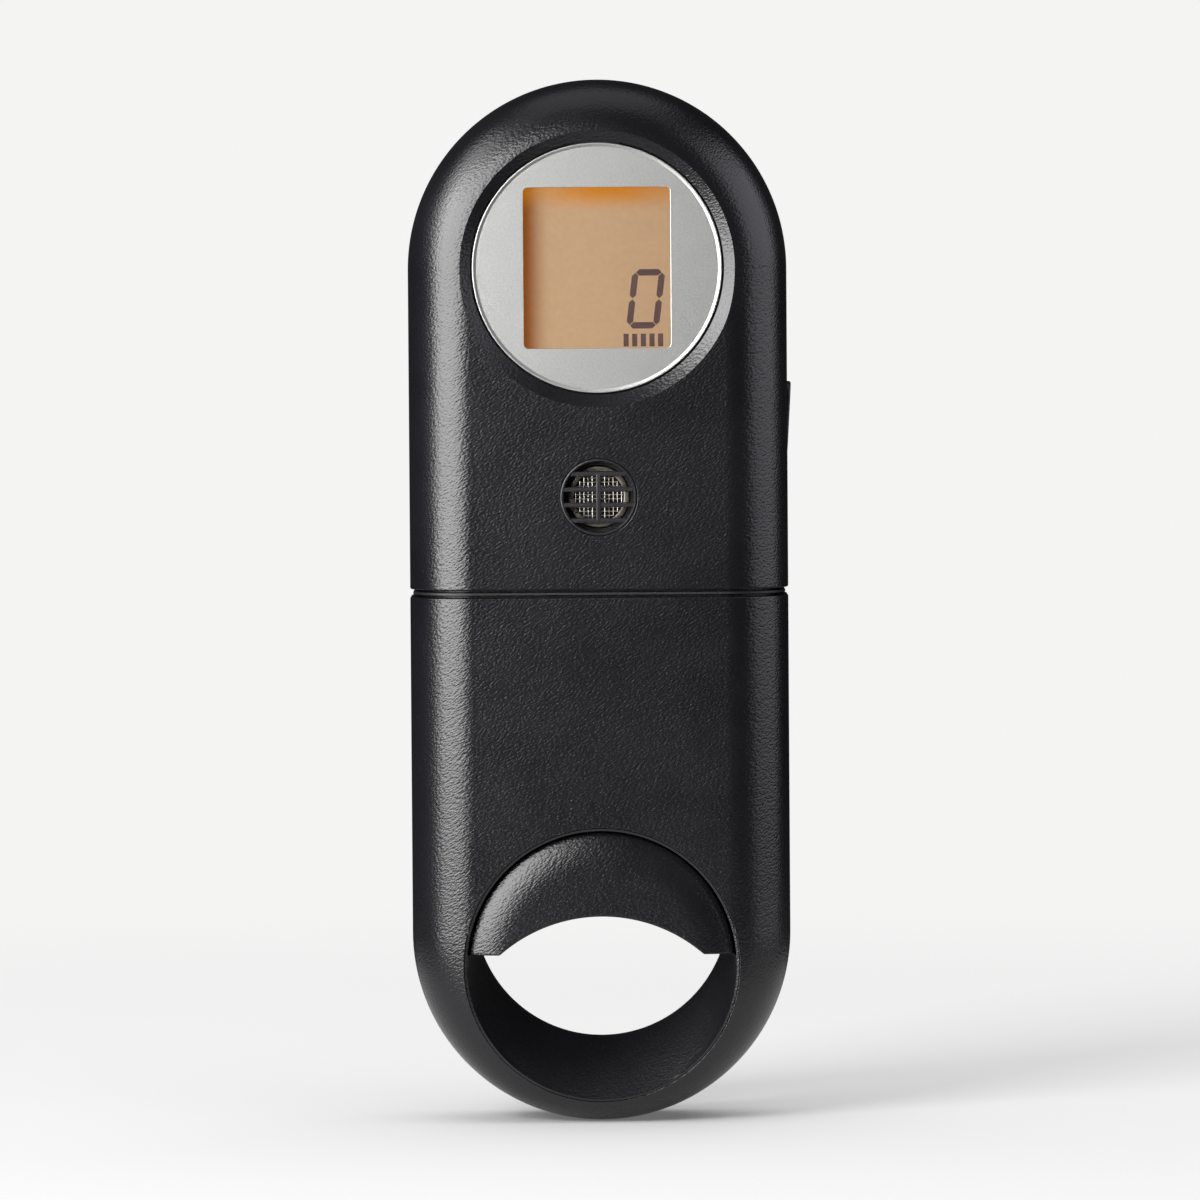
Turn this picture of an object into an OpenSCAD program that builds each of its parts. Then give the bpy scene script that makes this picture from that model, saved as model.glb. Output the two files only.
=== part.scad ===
// Hand dynamometer: a slim rounded casing with a round display at the top and a
// finger ring at the foot, closed above by a crescent trigger that pulls upwards.
// The front faces -Y, +X is to the right and +Z is up. The origin is on the floor
// below the middle of the rounded foot, halfway between the front and rear faces.

/* [Body] */
// Width of the casing
body_w = 56.4; // [56:0.1:57]
// Height of the casing
body_h = 155.2; // [154.5:0.1:156]
// Thickness of the casing, front to rear
body_t = 27; // [27:0.1:28]
// Rounding of the casing's front and rear edges
edge_r = 9.4; // [9:0.1:10]
// Thickness of the moulded walls
wall = 2; // [1.8:0.1:2.2]
// Height of the groove between the two housings
seam_z = 78.95; // [78.5:0.05:79.5]
// Width of that groove
seam_gap = 1.15; // [1:0.05:1.4]
// How far the joining band lies below the casing's surface
band_inset = 0.45; // [0.3:0.05:0.8]

/* [Display] */
// Radius of the silver disc
disc_r = 18.5; // [18:0.1:18.6]
// Thickness of the silver disc
disc_t = 1.2; // [1:0.1:1.3]
// How far the disc's face lies below the casing's front
disc_recess = 0.9; // [0.6:0.1:1]
// Radius of the countersink's outer edge
countersink_r = 20.45; // [20:0.05:20.8]
// Width of the window in the disc
window_w = 21.8; // [20:0.1:22]
// Height of the window in the disc
window_h = 23.85; // [22:0.05:24]
// Corner radius of the window
window_corner = 0.7; // [0.4:0.1:1.5]
// Height of the lit digit
digit_h = 8.8; // [8:0.1:9]
// Width of the lit digit, without its slant
digit_w = 4.9; // [4.5:0.1:5.2]

/* [Sounder] */
// Height of the sounder's axis above the foot
grille_z = 93.25; // [93:0.05:93.6]
// Outer radius of the grille
grille_r = 5.7; // [5.4:0.1:5.8]
// Radius of the grille's opening
grille_open_r = 5.2; // [4.9:0.1:5.3]
// Width of each grille bar
bar_w = 0.7; // [0.5:0.1:0.9]
// Distance between the grille's bars
bar_pitch = 2.3; // [2.1:0.1:2.4]

/* [Side button] */
// Height of the button's lower end above the foot
button_z = 98.7; // [98.5:0.1:99]
// Length of the button
button_len = 11.4; // [11:0.1:11.8]
// Width of the button
button_w = 5; // [4.6:0.1:5.2]
// How far the button's upper end stands proud of the casing
button_rise = 0.65; // [0.4:0.05:0.8]

/* [Finger ring] */
// Height of the ring's axis above the foot
ring_z = 23.7; // [23.6:0.05:23.9]
// Radius of the hole through the casing
ring_r = 20.45; // [20.4:0.05:20.5]
// Height of the axis of the ring's narrow waist
waist_z = 31.3; // [31:0.1:31.5]
// Radius of the ring's narrow waist
waist_r = 19; // [18.8:0.1:19.2]
// Height of the liner's upper ends
liner_top_z = 25; // [24.5:0.1:25]

/* [Trigger] */
// Radius of the trigger's upper edge
trigger_r = 19.75; // [19.5:0.05:19.8]
// Height of the trigger's lower ends
trigger_end_z = 25.3; // [25.2:0.1:25.6]
// Height of the axis of the trigger's hollow finger face
finger_arc_z = 8; // [7.8:0.1:8.2]
// Radius of the hollow finger face
finger_arc_r = 23; // [22.8:0.1:23.2]
// How far the trigger's faces lie below the casing's
trigger_recess = 0.2; // [0.15:0.05:0.3]
// Radius of the curve that slopes the trigger's faces to its upper edge
dome_r = 13.5; // [13.2:0.1:14]
// Radius at which the faces start to slope
dome_start_r = 14; // [13.8:0.1:14.1]
// Distance of the two guide rods from the middle
rod_x = 11; // [10.8:0.1:11.2]
// Radius of the guide rods
rod_r = 1.5; // [1.4:0.05:1.5]

/* [Load cell] */
// Height of the load frame's underside
frame_z = 51; // [51:0.1:51.4]
// Height of the load cell's underside
cell_bar_z = 61; // [61:0.1:61.4]
// Half the length of the load cell and its frame
frame_half = 23; // [22.5:0.1:23.5]

/* [Battery] */
// Diameter of an AAA cell
aaa_d = 10.5; // [10.5:0.1:10.5]
// Length of an AAA cell with its nub
aaa_len = 44.5; // [44.5:0.1:44.5]
// Width of the battery door
door_w = 25; // [24.6:0.1:25]
// Height of the battery door's lower edge
door_z0 = 91; // [90.8:0.1:91]
// Height of the battery door's upper edge
door_z1 = 140; // [140:0.1:140.4]

/* [Hidden] */
$fn = 96;

// Colours
shell_colour = [0.07, 0.07, 0.08];
silver_colour = [0.72, 0.72, 0.70];
steel_colour = [0.62, 0.63, 0.64];
brass_colour = [0.78, 0.62, 0.30];
board_colour = [0.05, 0.30, 0.16];
chip_colour = [0.04, 0.04, 0.04];
white_colour = [0.86, 0.85, 0.80];

// Casing
body_r = body_w / 2;
front_y = -body_t / 2;
seam_low = seam_z - seam_gap / 2;
seam_high = seam_z + seam_gap / 2;
past = 1;              // how far a cutting shape runs past the face it cuts
fit_gap = 0.2;         // gap round a cover or button in its opening
slip = 0.05;           // radial gap of a screw, pin or rod in its hole

// Casing screws: [x, z] of each, upper housing and lower housing
upper_screws = [[0, 146.5], [-13.5, 86.8], [13.5, 86.8]];
lower_screws = [[-13.5, 72], [13.5, 72], [-17.5, 46.5], [17.5, 46.5]];
screw_r = 1.2;
screw_head_r = 2.3;
screw_head_h = 1.7;
head_seat_y = -front_y - 3;
boss_r = 3;
screw_tip_y = -7;

// Display
display_z = body_h - body_r + 0.2;
disc_y = front_y + disc_recess;
ledge_y = disc_y + disc_t;
ledge_t = 1.5;
ledge_r = countersink_r + 0.35;
pane_w = window_w + 2.6;
pane_h = window_h + 2.6;
pane_t = 0.9;
glass_y = ledge_y + pane_t + 0.2;
glass_t = 2;
frame_border = 1.3;
board_y = -5;
board_t = 1.6;
board_back_y = board_y + board_t;
board_half = 20.5;
board_low_z = 84;
board_screw_places = [[-17, 136], [17, 136], [-17, 98], [17, 98]];
board_screw_r = 0.95;
board_boss_r = 2.3;

// Sounder can
can_r = 4.65;
can_front_y = front_y + 2.9;
can_wall = 0.5;
mesh_r = 3.7;

// Side button
button_top_z = button_z + button_len;
pivot_x = body_r - 3.6;
pivot_z = button_z + 0.9;
pin_r = 0.6;
pin_half = 4.4;
lug_gap = 2.4;
switch_z = button_z + 7.3;

// Finger ring
bezel_r = 20;
bezel_t = 0.7;
bezel_recess = 0.15;
funnel_y = -11;
liner_wall = 1.6;
lip_t = 0.95;
pocket_r = ring_r + 3.6;

// Trigger
crown_y = front_y + trigger_recess;
trigger_top_z = ring_z + trigger_r;
boss_top_z = trigger_top_z - 2.2;
bush_flange_t = 0.8;
bush_r = 2.5;
return_wire = 0.5;
return_coil_r = 2.2;
plunger_head_z = 48.4;
plunger_head_t = 1;
load_wire = 0.7;

// Load frame and load cell
frame_t = 4;
frame_depth = 6;
upright_w = 5;
frame_screw_x = 16;
frame_screw_z = frame_z + frame_t / 2;
cell_bar_h = 7;
cell_bar_depth = 5;
button_flange_z = cell_bar_z - 1.9;

// Battery
cell_y = 5.7;
cell_x = aaa_d / 2 + 0.3;
nub_h = 0.8;
tray_wall = 1;
tray_z0 = door_z0;
tray_z1 = door_z1 + 0.3;
tray_half = door_w / 2 - 0.1;
tray_floor_y = cell_y - aaa_d / 2 - 0.35;
contact_t = 0.3;
contact_z0 = tray_z0 + tray_wall;
contact_z1 = tray_z1 - tray_wall;

// ---- Helpers -------------------------------------------------------------

// Extrudes a shape drawn in X and Z from y0 to y1, with its origin at [x, z].
module along_y(y0, y1, x = 0, z = 0) {
    translate([x, y1, z]) rotate([90, 0, 0]) linear_extrude(y1 - y0) children();
}

// Disc, or plug, along Y.
module disc_along_y(r, y0, y1, x = 0, z = 0) {
    along_y(y0, y1, x, z) circle(r);
}

// Flat ring along Y.
module ring_along_y(r_out, r_in, y0, y1, x = 0, z = 0) {
    along_y(y0, y1, x, z) difference() {
        circle(r_out);
        circle(r_in);
    }
}

// Cone along Y, with radius r0 at y0 and r1 at y1.
module cone_along_y(r0, r1, y0, y1, x = 0, z = 0) {
    translate([x, y1, z]) rotate([90, 0, 0]) cylinder(h = y1 - y0, r1 = r1, r2 = r0);
}

// Upright round bar from z0 to z1.
module bar_along_z(r, z0, z1, x = 0, y = 0) {
    translate([x, y, z0]) cylinder(h = z1 - z0, r = r);
}

// Block given by its low and high corners.
module block(low, high) {
    translate(low) cube(high - low);
}

// Rectangle with round corners, centred.
module round_rect(w, h, r) {
    square([w - 2 * r, h], center = true);
    square([w, h - 2 * r], center = true);
    for (x = [-1, 1], y = [-1, 1]) translate([x * (w / 2 - r), y * (h / 2 - r)]) circle(r);
}

// The same shape twice, at each side of the middle.
module both_sides() {
    children();
    mirror([1, 0, 0]) children();
}

// A front piece as it is, or turned over into the rear piece.
module on_side(rear) {
    mirror([0, rear ? 1 : 0, 0]) children();
}

// ---- Casing --------------------------------------------------------------

// Cross-section of the casing in X and Y, drawn smaller by an inset all round.
module section(inset) {
    round_rect(body_w - 2 * inset, body_t - 2 * inset, edge_r - inset);
}

// Half of that section, for turning.
module half_section(inset) {
    intersection() {
        section(inset);
        translate([0, -body_t]) square([body_w, 2 * body_t]);
    }
}

// Rounded end of the casing, above the plane through its axis.
module round_end(inset) {
    rotate([90, 0, 0]) rotate_extrude(angle = 180) half_section(inset);
}

// The whole casing as one solid, smaller by an inset all round.
module body_solid(inset) {
    translate([0, 0, body_r]) linear_extrude(body_h - 2 * body_r) section(inset);
    translate([0, 0, body_h - body_r]) round_end(inset);
    translate([0, 0, body_r]) mirror([0, 0, 1]) round_end(inset);
}

// Slice of the casing's outline from z0 to z1.
module slab(inset, z0, z1) {
    translate([0, 0, z0]) linear_extrude(z1 - z0) section(inset);
}

// Space in front of the parting plane from z0 to z1.
module front_space(z0, z1) {
    block([-body_w, front_y - past, z0], [body_w, 0, z1]);
}

// Front half of the empty casing from z0 to z1.
module half_shell(z0, z1) {
    intersection() {
        difference() {
            body_solid(0);
            body_solid(wall);
        }
        front_space(z0, z1);
    }
}

// Posts that rise from the front wall to the parting plane.
module front_posts(places, r) {
    intersection() {
        for (p = places) disc_along_y(r, front_y + wall / 2, 0, p[0], p[1]);
        body_solid(wall / 2);
    }
}

// Blind holes for the screw tips in the front housings.
module screw_tip_holes(places) {
    for (p = places) disc_along_y(screw_r + slip, screw_tip_y - 1, past, p[0], p[1]);
}

// Head recess and shaft hole for each screw, drawn for the rear housings' mirror image.
module screw_head_holes(places) {
    for (p = places) {
        disc_along_y(screw_r + 4 * slip, front_y, past, p[0], p[1]);
        disc_along_y(screw_head_r + fit_gap, front_y - past, -head_seat_y, p[0], p[1]);
    }
}

// Slot in the side wall for the button, as a straight hole with round ends.
module button_slot() {
    translate([body_r - wall - past, 0, button_z + button_len / 2]) rotate([90, 0, 90])
        linear_extrude(wall + 2 * past) button_outline(fit_gap);
}

// Lugs on the parting plane that hold the button's pin, on the front side.
module button_lug() {
    difference() {
        block([pivot_x - 1.2, -pin_half, pivot_z - 1.2],
              [body_r - wall / 2, -lug_gap, pivot_z + 1.2]);
        disc_along_y(pin_r + 0.02, -pin_half - past, past, pivot_x, pivot_z);
    }
}

module upper_front_shell() {
    color(shell_colour) difference() {
        union() {
            half_shell(seam_high, body_h + past);
            disc_along_y(ledge_r, front_y + wall / 2, ledge_y + ledge_t, 0, display_z);
            front_posts(upper_screws, boss_r);
            for (p = board_screw_places)
                disc_along_y(board_boss_r, front_y + wall / 2, board_y, p[0], p[1]);
            button_lug();
        }
        cone_along_y(countersink_r + past * 2, disc_r + 0.25, front_y - past, disc_y, 0, display_z);
        disc_along_y(disc_r + 0.25, disc_y - past, ledge_y, 0, display_z);
        along_y(ledge_y - past, ledge_y + ledge_t + past, 0, display_z)
            round_rect(pane_w + 0.4, pane_h + 0.4, window_corner);
        disc_along_y(grille_r + slip, front_y - past, 0, 0, grille_z);
        screw_tip_holes(upper_screws);
        for (p = board_screw_places)
            disc_along_y(board_screw_r + slip, board_y - 4.5, board_y + past, p[0], p[1]);
        button_slot();
    }
}

module upper_rear_shell() {
    color(shell_colour) mirror([0, 1, 0]) difference() {
        union() {
            half_shell(seam_high, body_h + past);
            front_posts(upper_screws, boss_r + 0.6);
            button_lug();
        }
        screw_head_holes(upper_screws);
        along_y(front_y - past, front_y + wall + past, 0, (door_z0 + door_z1) / 2)
            round_rect(door_w + 2 * fit_gap, door_z1 - door_z0 + 2 * fit_gap, 3);
        button_slot();
    }
}

// Front half of the lower housing, with the ring hole and the trigger's relief behind its lip.
module lower_half(post_r) {
    difference() {
        union() {
            half_shell(0, seam_low);
            front_posts(lower_screws, post_r);
        }
        disc_along_y(ring_r, front_y - past, 0, 0, ring_z);
        intersection() {
            cone_along_y(ring_r, pocket_r, front_y + lip_t, front_y + wall, 0, ring_z);
            block([-body_w, front_y, liner_top_z], [body_w, 0, body_h]);
        }
    }
}

module lower_front_shell() {
    color(shell_colour) difference() {
        lower_half(boss_r);
        screw_tip_holes(lower_screws);
    }
}

module lower_rear_shell() {
    color(shell_colour) mirror([0, 1, 0]) difference() {
        union() {
            lower_half(boss_r + 0.6);
            both_sides() disc_along_y(boss_r, front_y + wall / 2, -frame_depth,
                                      frame_screw_x, frame_screw_z);
        }
        screw_head_holes(lower_screws);
        both_sides() disc_along_y(screw_r + slip, -10.6, past, frame_screw_x, frame_screw_z);
    }
}

// Ring that joins the two housings: a thin outer lip in the groove and a sleeve inside both.
module seam_band() {
    lip_h = 0.5;
    sleeve_half = 3;
    sleeve_t = 1.6;
    color([0.10, 0.10, 0.11]) difference() {
        union() {
            slab(band_inset, seam_z - lip_h / 2, seam_z + lip_h / 2);
            slab(wall + slip, seam_z - sleeve_half, seam_z + sleeve_half);
        }
        slab(wall + sleeve_t, seam_z - sleeve_half - past, seam_z + sleeve_half + past);
    }
}

// Pan-head screw along Y: the head's underside at head_y, the tip at tip_y.
// The head lies on the side away from the tip.
module screw_y(x, z, head_y, tip_y, shaft_r, head_r, head_h) {
    dir = tip_y > head_y ? 1 : -1;
    slot_w = head_r * 0.3;
    slot_depth = head_h * 0.55;
    head_top = head_y - dir * head_h;
    difference() {
        union() {
            disc_along_y(shaft_r, min(head_y, tip_y), max(head_y, tip_y), x, z);
            disc_along_y(head_r, min(head_y, head_top), max(head_y, head_top), x, z);
        }
        for (turn = [0, 90])
            translate([x, head_top, z]) rotate([0, turn, 0])
                cube([head_r * 1.3, 2 * slot_depth, slot_w], center = true);
    }
}

module casing_screws() {
    color(steel_colour) for (p = concat(upper_screws, lower_screws))
        screw_y(p[0], p[1], head_seat_y, screw_tip_y, screw_r, screw_head_r, screw_head_h);
}

module battery_door() {
    rib_count = 5;
    rib_pitch = 1.6;
    color(shell_colour) difference() {
        along_y(-front_y - wall + 0.1, -front_y, 0, (door_z0 + door_z1) / 2)
            round_rect(door_w, door_z1 - door_z0, 3 - fit_gap);
        for (i = [0 : rib_count - 1])
            block([-5, -front_y - 0.5, door_z1 - 6 - i * rib_pitch],
                  [5, -front_y + past, door_z1 - 5.3 - i * rib_pitch]);
    }
}

// ---- Display -------------------------------------------------------------

module display_disc() {
    color(silver_colour) along_y(disc_y, ledge_y, 0, display_z) difference() {
        circle(disc_r);
        round_rect(window_w, window_h, window_corner);
    }
}

module display_window() {
    color([0.9, 0.9, 0.9, 0.3]) along_y(ledge_y + 0.05, ledge_y + pane_t, 0, display_z)
        round_rect(pane_w, pane_h, window_corner);
}

module lcd_glass() {
    color([0.80, 0.55, 0.30]) along_y(glass_y, glass_y + glass_t, 0, display_z)
        square([pane_w, pane_h], center = true);
}

// One bar of a seven-segment digit, lying along X, with pointed ends.
module digit_bar(length, thick) {
    half = length / 2;
    polygon([[-half, 0], [-half + thick / 2, thick / 2], [half - thick / 2, thick / 2],
             [half, 0], [half - thick / 2, -thick / 2], [-half + thick / 2, -thick / 2]]);
}

// A seven-segment zero: all the bars but the middle one, centred.
module zero_digit(thick) {
    bar = digit_w - thick;
    upright = (digit_h - thick) / 2;
    joint_gap = 0.14;
    for (y = [-1, 1]) translate([0, y * upright]) digit_bar(bar - joint_gap, thick);
    for (x = [-1, 1], y = [-1, 1])
        translate([x * bar / 2, y * upright / 2]) rotate(90) digit_bar(upright - joint_gap, thick);
}

// The lit marks on the glass: a slanted zero and, below it, a row of five small bars.
module lcd_segments() {
    segment_t = 0.06;
    slant = 0.12;
    digit_x = 7.2;
    digit_z = -4.65;
    icon_w = 6.4;
    icon_h = 1.9;
    icon_z = -10.75;
    icon_count = 5;
    icon_step = icon_w / icon_count;
    color([0.30, 0.22, 0.20]) along_y(glass_y - segment_t, glass_y, 0, display_z) {
        translate([digit_x, digit_z])
            multmatrix([[1, slant, 0, 0], [0, 1, 0, 0], [0, 0, 1, 0], [0, 0, 0, 1]])
                zero_digit(0.95);
        for (i = [0 : icon_count - 1])
            translate([digit_x - icon_w / 2 + (i + 0.5) * icon_step - 0.4, icon_z])
                square([icon_step * 0.6, icon_h], center = true);
    }
}

// Frame that holds the glass and the light guide on the board.
module lcd_frame() {
    color([0.85, 0.85, 0.82]) along_y(ledge_y + ledge_t + 0.1, board_y, 0, display_z)
        difference() {
            round_rect(pane_w + 2 * frame_border, pane_h + 2 * frame_border + 1, 1);
            square([pane_w + 0.2, pane_h + 0.2], center = true);
        }
}

module light_guide() {
    color([0.95, 0.80, 0.55]) block([-11.5, glass_y + glass_t + 0.1, display_z - 10.2],
                                    [11.5, board_y - 0.5, display_z + 10.6]);
}

module backlight_leds() {
    led_w = 3;
    color([1, 0.75, 0.35]) for (x = [-6, 5])
        block([x - led_w / 2, board_y - 1.8, display_z + 10.9],
              [x + led_w / 2, board_y, display_z + 12.3]);
}

module zebra_strip() {
    color([0.75, 0.35, 0.45]) block([-11, glass_y + glass_t, display_z - 12.6],
                                    [11, board_y, display_z - 10.8]);
}

// ---- Electronics ---------------------------------------------------------

module main_board() {
    color(board_colour) difference() {
        along_y(board_y, board_back_y) union() {
            translate([0, display_z]) circle(board_half);
            translate([-board_half, board_low_z])
                square([2 * board_half, display_z - board_low_z]);
        }
        for (p = upper_screws) disc_along_y(boss_r + 0.4, board_y - past, 0, p[0], p[1]);
        for (p = board_screw_places)
            disc_along_y(board_screw_r + 2 * slip, board_y - past, 0, p[0], p[1]);
    }
}

module board_screws() {
    color(steel_colour) for (p = board_screw_places)
        screw_y(p[0], p[1], board_back_y, board_y - 4, board_screw_r, 1.8, 1.2);
}

// Chip with a row of legs down two sides, on the rear of the board.
module leaded_chip(x, z, w, h, body_h_y, legs) {
    pitch = (h - 1) / (legs - 1);
    block([x - w / 2, board_back_y + 0.1, z - h / 2],
          [x + w / 2, board_back_y + body_h_y, z + h / 2]);
    for (i = [0 : legs - 1], side = [-1, 1])
        translate([x + side * (w / 2 + 0.45), board_back_y + 0.2, z - h / 2 + 0.5 + i * pitch])
            cube([0.9, 0.4, 0.4], center = true);
}

module microcontroller() {
    color(chip_colour) leaded_chip(-5, 112, 8, 8, 1.3, 10);
}

module amplifier_chip() {
    color(chip_colour) leaded_chip(7, 100, 4, 5, 1.4, 4);
}

module ceramic_capacitors() {
    color([0.70, 0.58, 0.42]) for (p = [[4, 108], [4, 112], [4, 116], [-12, 104], [-9, 104],
                                        [12, 96], [12, 100]])
        block([p[0] - 0.6, board_back_y, p[1] - 1], [p[0] + 0.6, board_back_y + 1.1, p[1] + 1]);
}

module crystal() {
    color(steel_colour) bar_along_z(1, 103, 109, 8, board_back_y + 1);
}

// Side-acting switch behind the side button.
module tact_switch() {
    color([0.12, 0.12, 0.12])
        block([15.5, board_back_y, switch_z - 3], [19.6, board_back_y + 3.2, switch_z + 3]);
    color(white_colour) translate([19.5, board_back_y + 1.6, switch_z])
        rotate([0, 90, 0]) cylinder(h = 1.4, r = 0.8);
}

// ---- Side button ---------------------------------------------------------

// Outline of the button in Y and Z, with round ends, grown by a margin.
module button_outline(margin) {
    round_rect(button_w + 2 * margin, button_len + 2 * margin, button_w / 2 + margin - 0.01);
}

module side_button() {
    stem_x = body_r - wall - 0.6;
    flange_t = 0.9;
    arm_y = board_back_y + 1.6;
    color([0.05, 0.05, 0.05]) difference() {
        union() {
            intersection() {
                translate([stem_x, 0, button_z + button_len / 2]) rotate([90, 0, 90])
                    linear_extrude(wall + 2) button_outline(0);
                along_y(-button_w, button_w)
                    polygon([[stem_x - past, button_z - past], [body_r, button_z - past],
                             [body_r, button_z], [body_r + button_rise, button_top_z],
                             [stem_x - past, button_top_z]]);
            }
            block([body_r - wall - 0.2 - flange_t, -button_w / 2 - 0.8, button_z + 3],
                  [body_r - wall - 0.2, button_w / 2 + 0.8, button_top_z + 0.7]);
            block([pivot_x - 1.1, -lug_gap + 0.3, pivot_z - 1.1],
                  [stem_x + 0.3, lug_gap - 0.3, pivot_z + 1.1]);
            block([21.3, arm_y - 0.8, switch_z - 0.8],
                  [body_r - wall - 0.5, arm_y + 0.8, switch_z + 0.8]);
            block([pivot_x - 0.3, -lug_gap + 0.3, pivot_z],
                  [body_r - wall - 0.5, lug_gap - 0.3, button_z + 4]);
        }
        disc_along_y(pin_r + slip, -body_t, body_t, pivot_x, pivot_z);
    }
}

module button_pin() {
    color(steel_colour) disc_along_y(pin_r, -pin_half, pin_half, pivot_x, pivot_z);
}

// ---- Sounder -------------------------------------------------------------

module sounder_grille() {
    bar_depth = 0.8;
    bar_y = front_y + 0.05;
    color(shell_colour) {
        ring_along_y(grille_r, grille_open_r, front_y + 0.02, front_y + wall, 0, grille_z);
        intersection() {
            disc_along_y(grille_open_r + 0.1, bar_y, bar_y + bar_depth, 0, grille_z);
            union() {
                for (i = [-1.5 : 1 : 1.5])
                    block([-grille_r, bar_y - past, grille_z + i * bar_pitch - bar_w / 2],
                          [grille_r, bar_y + bar_depth + past, grille_z + i * bar_pitch + bar_w / 2]);
                block([-bar_w / 2, bar_y - past, grille_z - 1.5 * bar_pitch],
                      [bar_w / 2, bar_y + bar_depth + past, grille_z + 1.5 * bar_pitch]);
            }
        }
    }
}

module sounder_gasket() {
    color([0.13, 0.13, 0.13])
        ring_along_y(grille_r + 0.3, can_r + 0.1, front_y + wall + 0.1, can_front_y + 2, 0, grille_z);
}

module sounder_can() {
    color([0.78, 0.74, 0.64]) difference() {
        disc_along_y(can_r, can_front_y, board_y, 0, grille_z);
        disc_along_y(mesh_r + slip, can_front_y - past, can_front_y + past, 0, grille_z);
        disc_along_y(can_r - can_wall, can_front_y + 0.6, board_y - can_wall, 0, grille_z);
    }
}

module sounder_mesh() {
    color(steel_colour) disc_along_y(mesh_r, can_front_y + 0.2, can_front_y + 0.4, 0, grille_z);
}

// ---- Battery -------------------------------------------------------------

module battery_tray() {
    color([0.10, 0.10, 0.10]) difference() {
        block([-tray_half, tray_floor_y - tray_wall, tray_z0],
              [tray_half, -front_y - wall - 0.1, tray_z1]);
        block([-tray_half + tray_wall, tray_floor_y, contact_z0],
              [tray_half - tray_wall, -front_y, contact_z1]);
    }
}

// One cell, with its nub at the upper end or at the lower end.
module aaa_cell(x, nub_up) {
    gap = 0.1;
    low = nub_up ? contact_z1 - contact_t - gap - aaa_len : contact_z0 + contact_t + gap;
    body_low = nub_up ? low : low + nub_h;
    nub_low = nub_up ? low + aaa_len - nub_h : low;
    bar_along_z(aaa_d / 2, body_low, body_low + aaa_len - nub_h, x, cell_y);
    bar_along_z(1.9, nub_low, nub_low + nub_h, x, cell_y);
}

module cell_left() {
    color([0.20, 0.30, 0.55]) aaa_cell(-cell_x, true);
}

module cell_right() {
    color([0.20, 0.30, 0.55]) aaa_cell(cell_x, false);
}

// Round wire coiled about Z from z0 to z1, made of rings of points along the helix.
module coil(r, wire, turns, z0, z1) {
    steps = 14;
    sides = 6;
    rings = turns * steps;
    rise = z1 - z0 - wire;
    points = [for (i = [0 : rings], k = [0 : sides - 1])
        let (a = 360 * i / steps, b = 360 * k / sides, d = r + wire / 2 * cos(b))
            [d * cos(a), d * sin(a), z0 + wire / 2 + rise * i / rings + wire / 2 * sin(b)]];
    skin = [for (i = [0 : rings - 1], k = [0 : sides - 1])
        [i * sides + k, i * sides + (k + 1) % sides,
         (i + 1) * sides + (k + 1) % sides, (i + 1) * sides + k]];
    low_end = [[for (k = [0 : sides - 1]) sides - 1 - k]];
    high_end = [[for (k = [0 : sides - 1]) rings * sides + k]];
    polyhedron(points, concat(skin, low_end, high_end));
}

module contact_springs() {
    gap = 0.1;
    spring_room = contact_z1 - contact_z0 - 2 * contact_t - aaa_len - gap;
    color(steel_colour) {
        translate([-cell_x, cell_y, 0])
            coil(2.6, 0.5, 3, contact_z0 + contact_t, contact_z0 + contact_t + spring_room);
        translate([cell_x, cell_y, 0])
            coil(2.6, 0.5, 3, contact_z1 - contact_t - spring_room, contact_z1 - contact_t);
    }
}

module contact_plates() {
    plate_half = 4;
    color(steel_colour) for (x = [-cell_x, cell_x], z = [contact_z0, contact_z1 - contact_t])
        block([x - plate_half, cell_y - plate_half, z],
              [x + plate_half, cell_y + plate_half, z + contact_t]);
}

// Two wires that leave the tray's foot and turn forward to the board.
module battery_leads() {
    wire_r = 0.5;
    bend_r = 1.2;
    bend_y = 2;
    bend_z = tray_z0 - 0.4;
    for (x = [-7, 7]) color(x < 0 ? [0.10, 0.10, 0.10] : [0.70, 0.08, 0.08]) {
        bar_along_z(wire_r, bend_z, tray_z0, x, bend_y + bend_r);
        translate([x, bend_y, bend_z]) rotate([90, 0, 90]) rotate([0, 0, -90])
            rotate_extrude(angle = 90) translate([bend_r, 0]) circle(wire_r);
        disc_along_y(wire_r, board_back_y, bend_y, x, bend_z - bend_r);
    }
}

// ---- Finger ring ---------------------------------------------------------

// Thin ring that edges the hole in the casing and follows its surface.
module ring_bezel(rear) {
    color([0.13, 0.13, 0.13]) on_side(rear) difference() {
        intersection() {
            body_solid(bezel_recess);
            ring_along_y(ring_r - slip, bezel_r, front_y, -4, 0, ring_z);
        }
        body_solid(bezel_recess + bezel_t);
    }
}

module ring_bezel_front() ring_bezel(false);

module ring_bezel_rear() ring_bezel(true);

// Sloping finger space from the front edge to the waist, grown by a margin.
module funnel(margin) {
    flat = 0.01;
    hull($fn = 72) {
        along_y(funnel_y - flat, funnel_y, 0, ring_z) circle(bezel_r - slip + margin, $fn = 72);
        along_y(0, flat, 0, waist_z) circle(waist_r + margin, $fn = 72);
    }
    disc_along_y(bezel_r - slip + margin, front_y - past, funnel_y, 0, ring_z);
}

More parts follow.
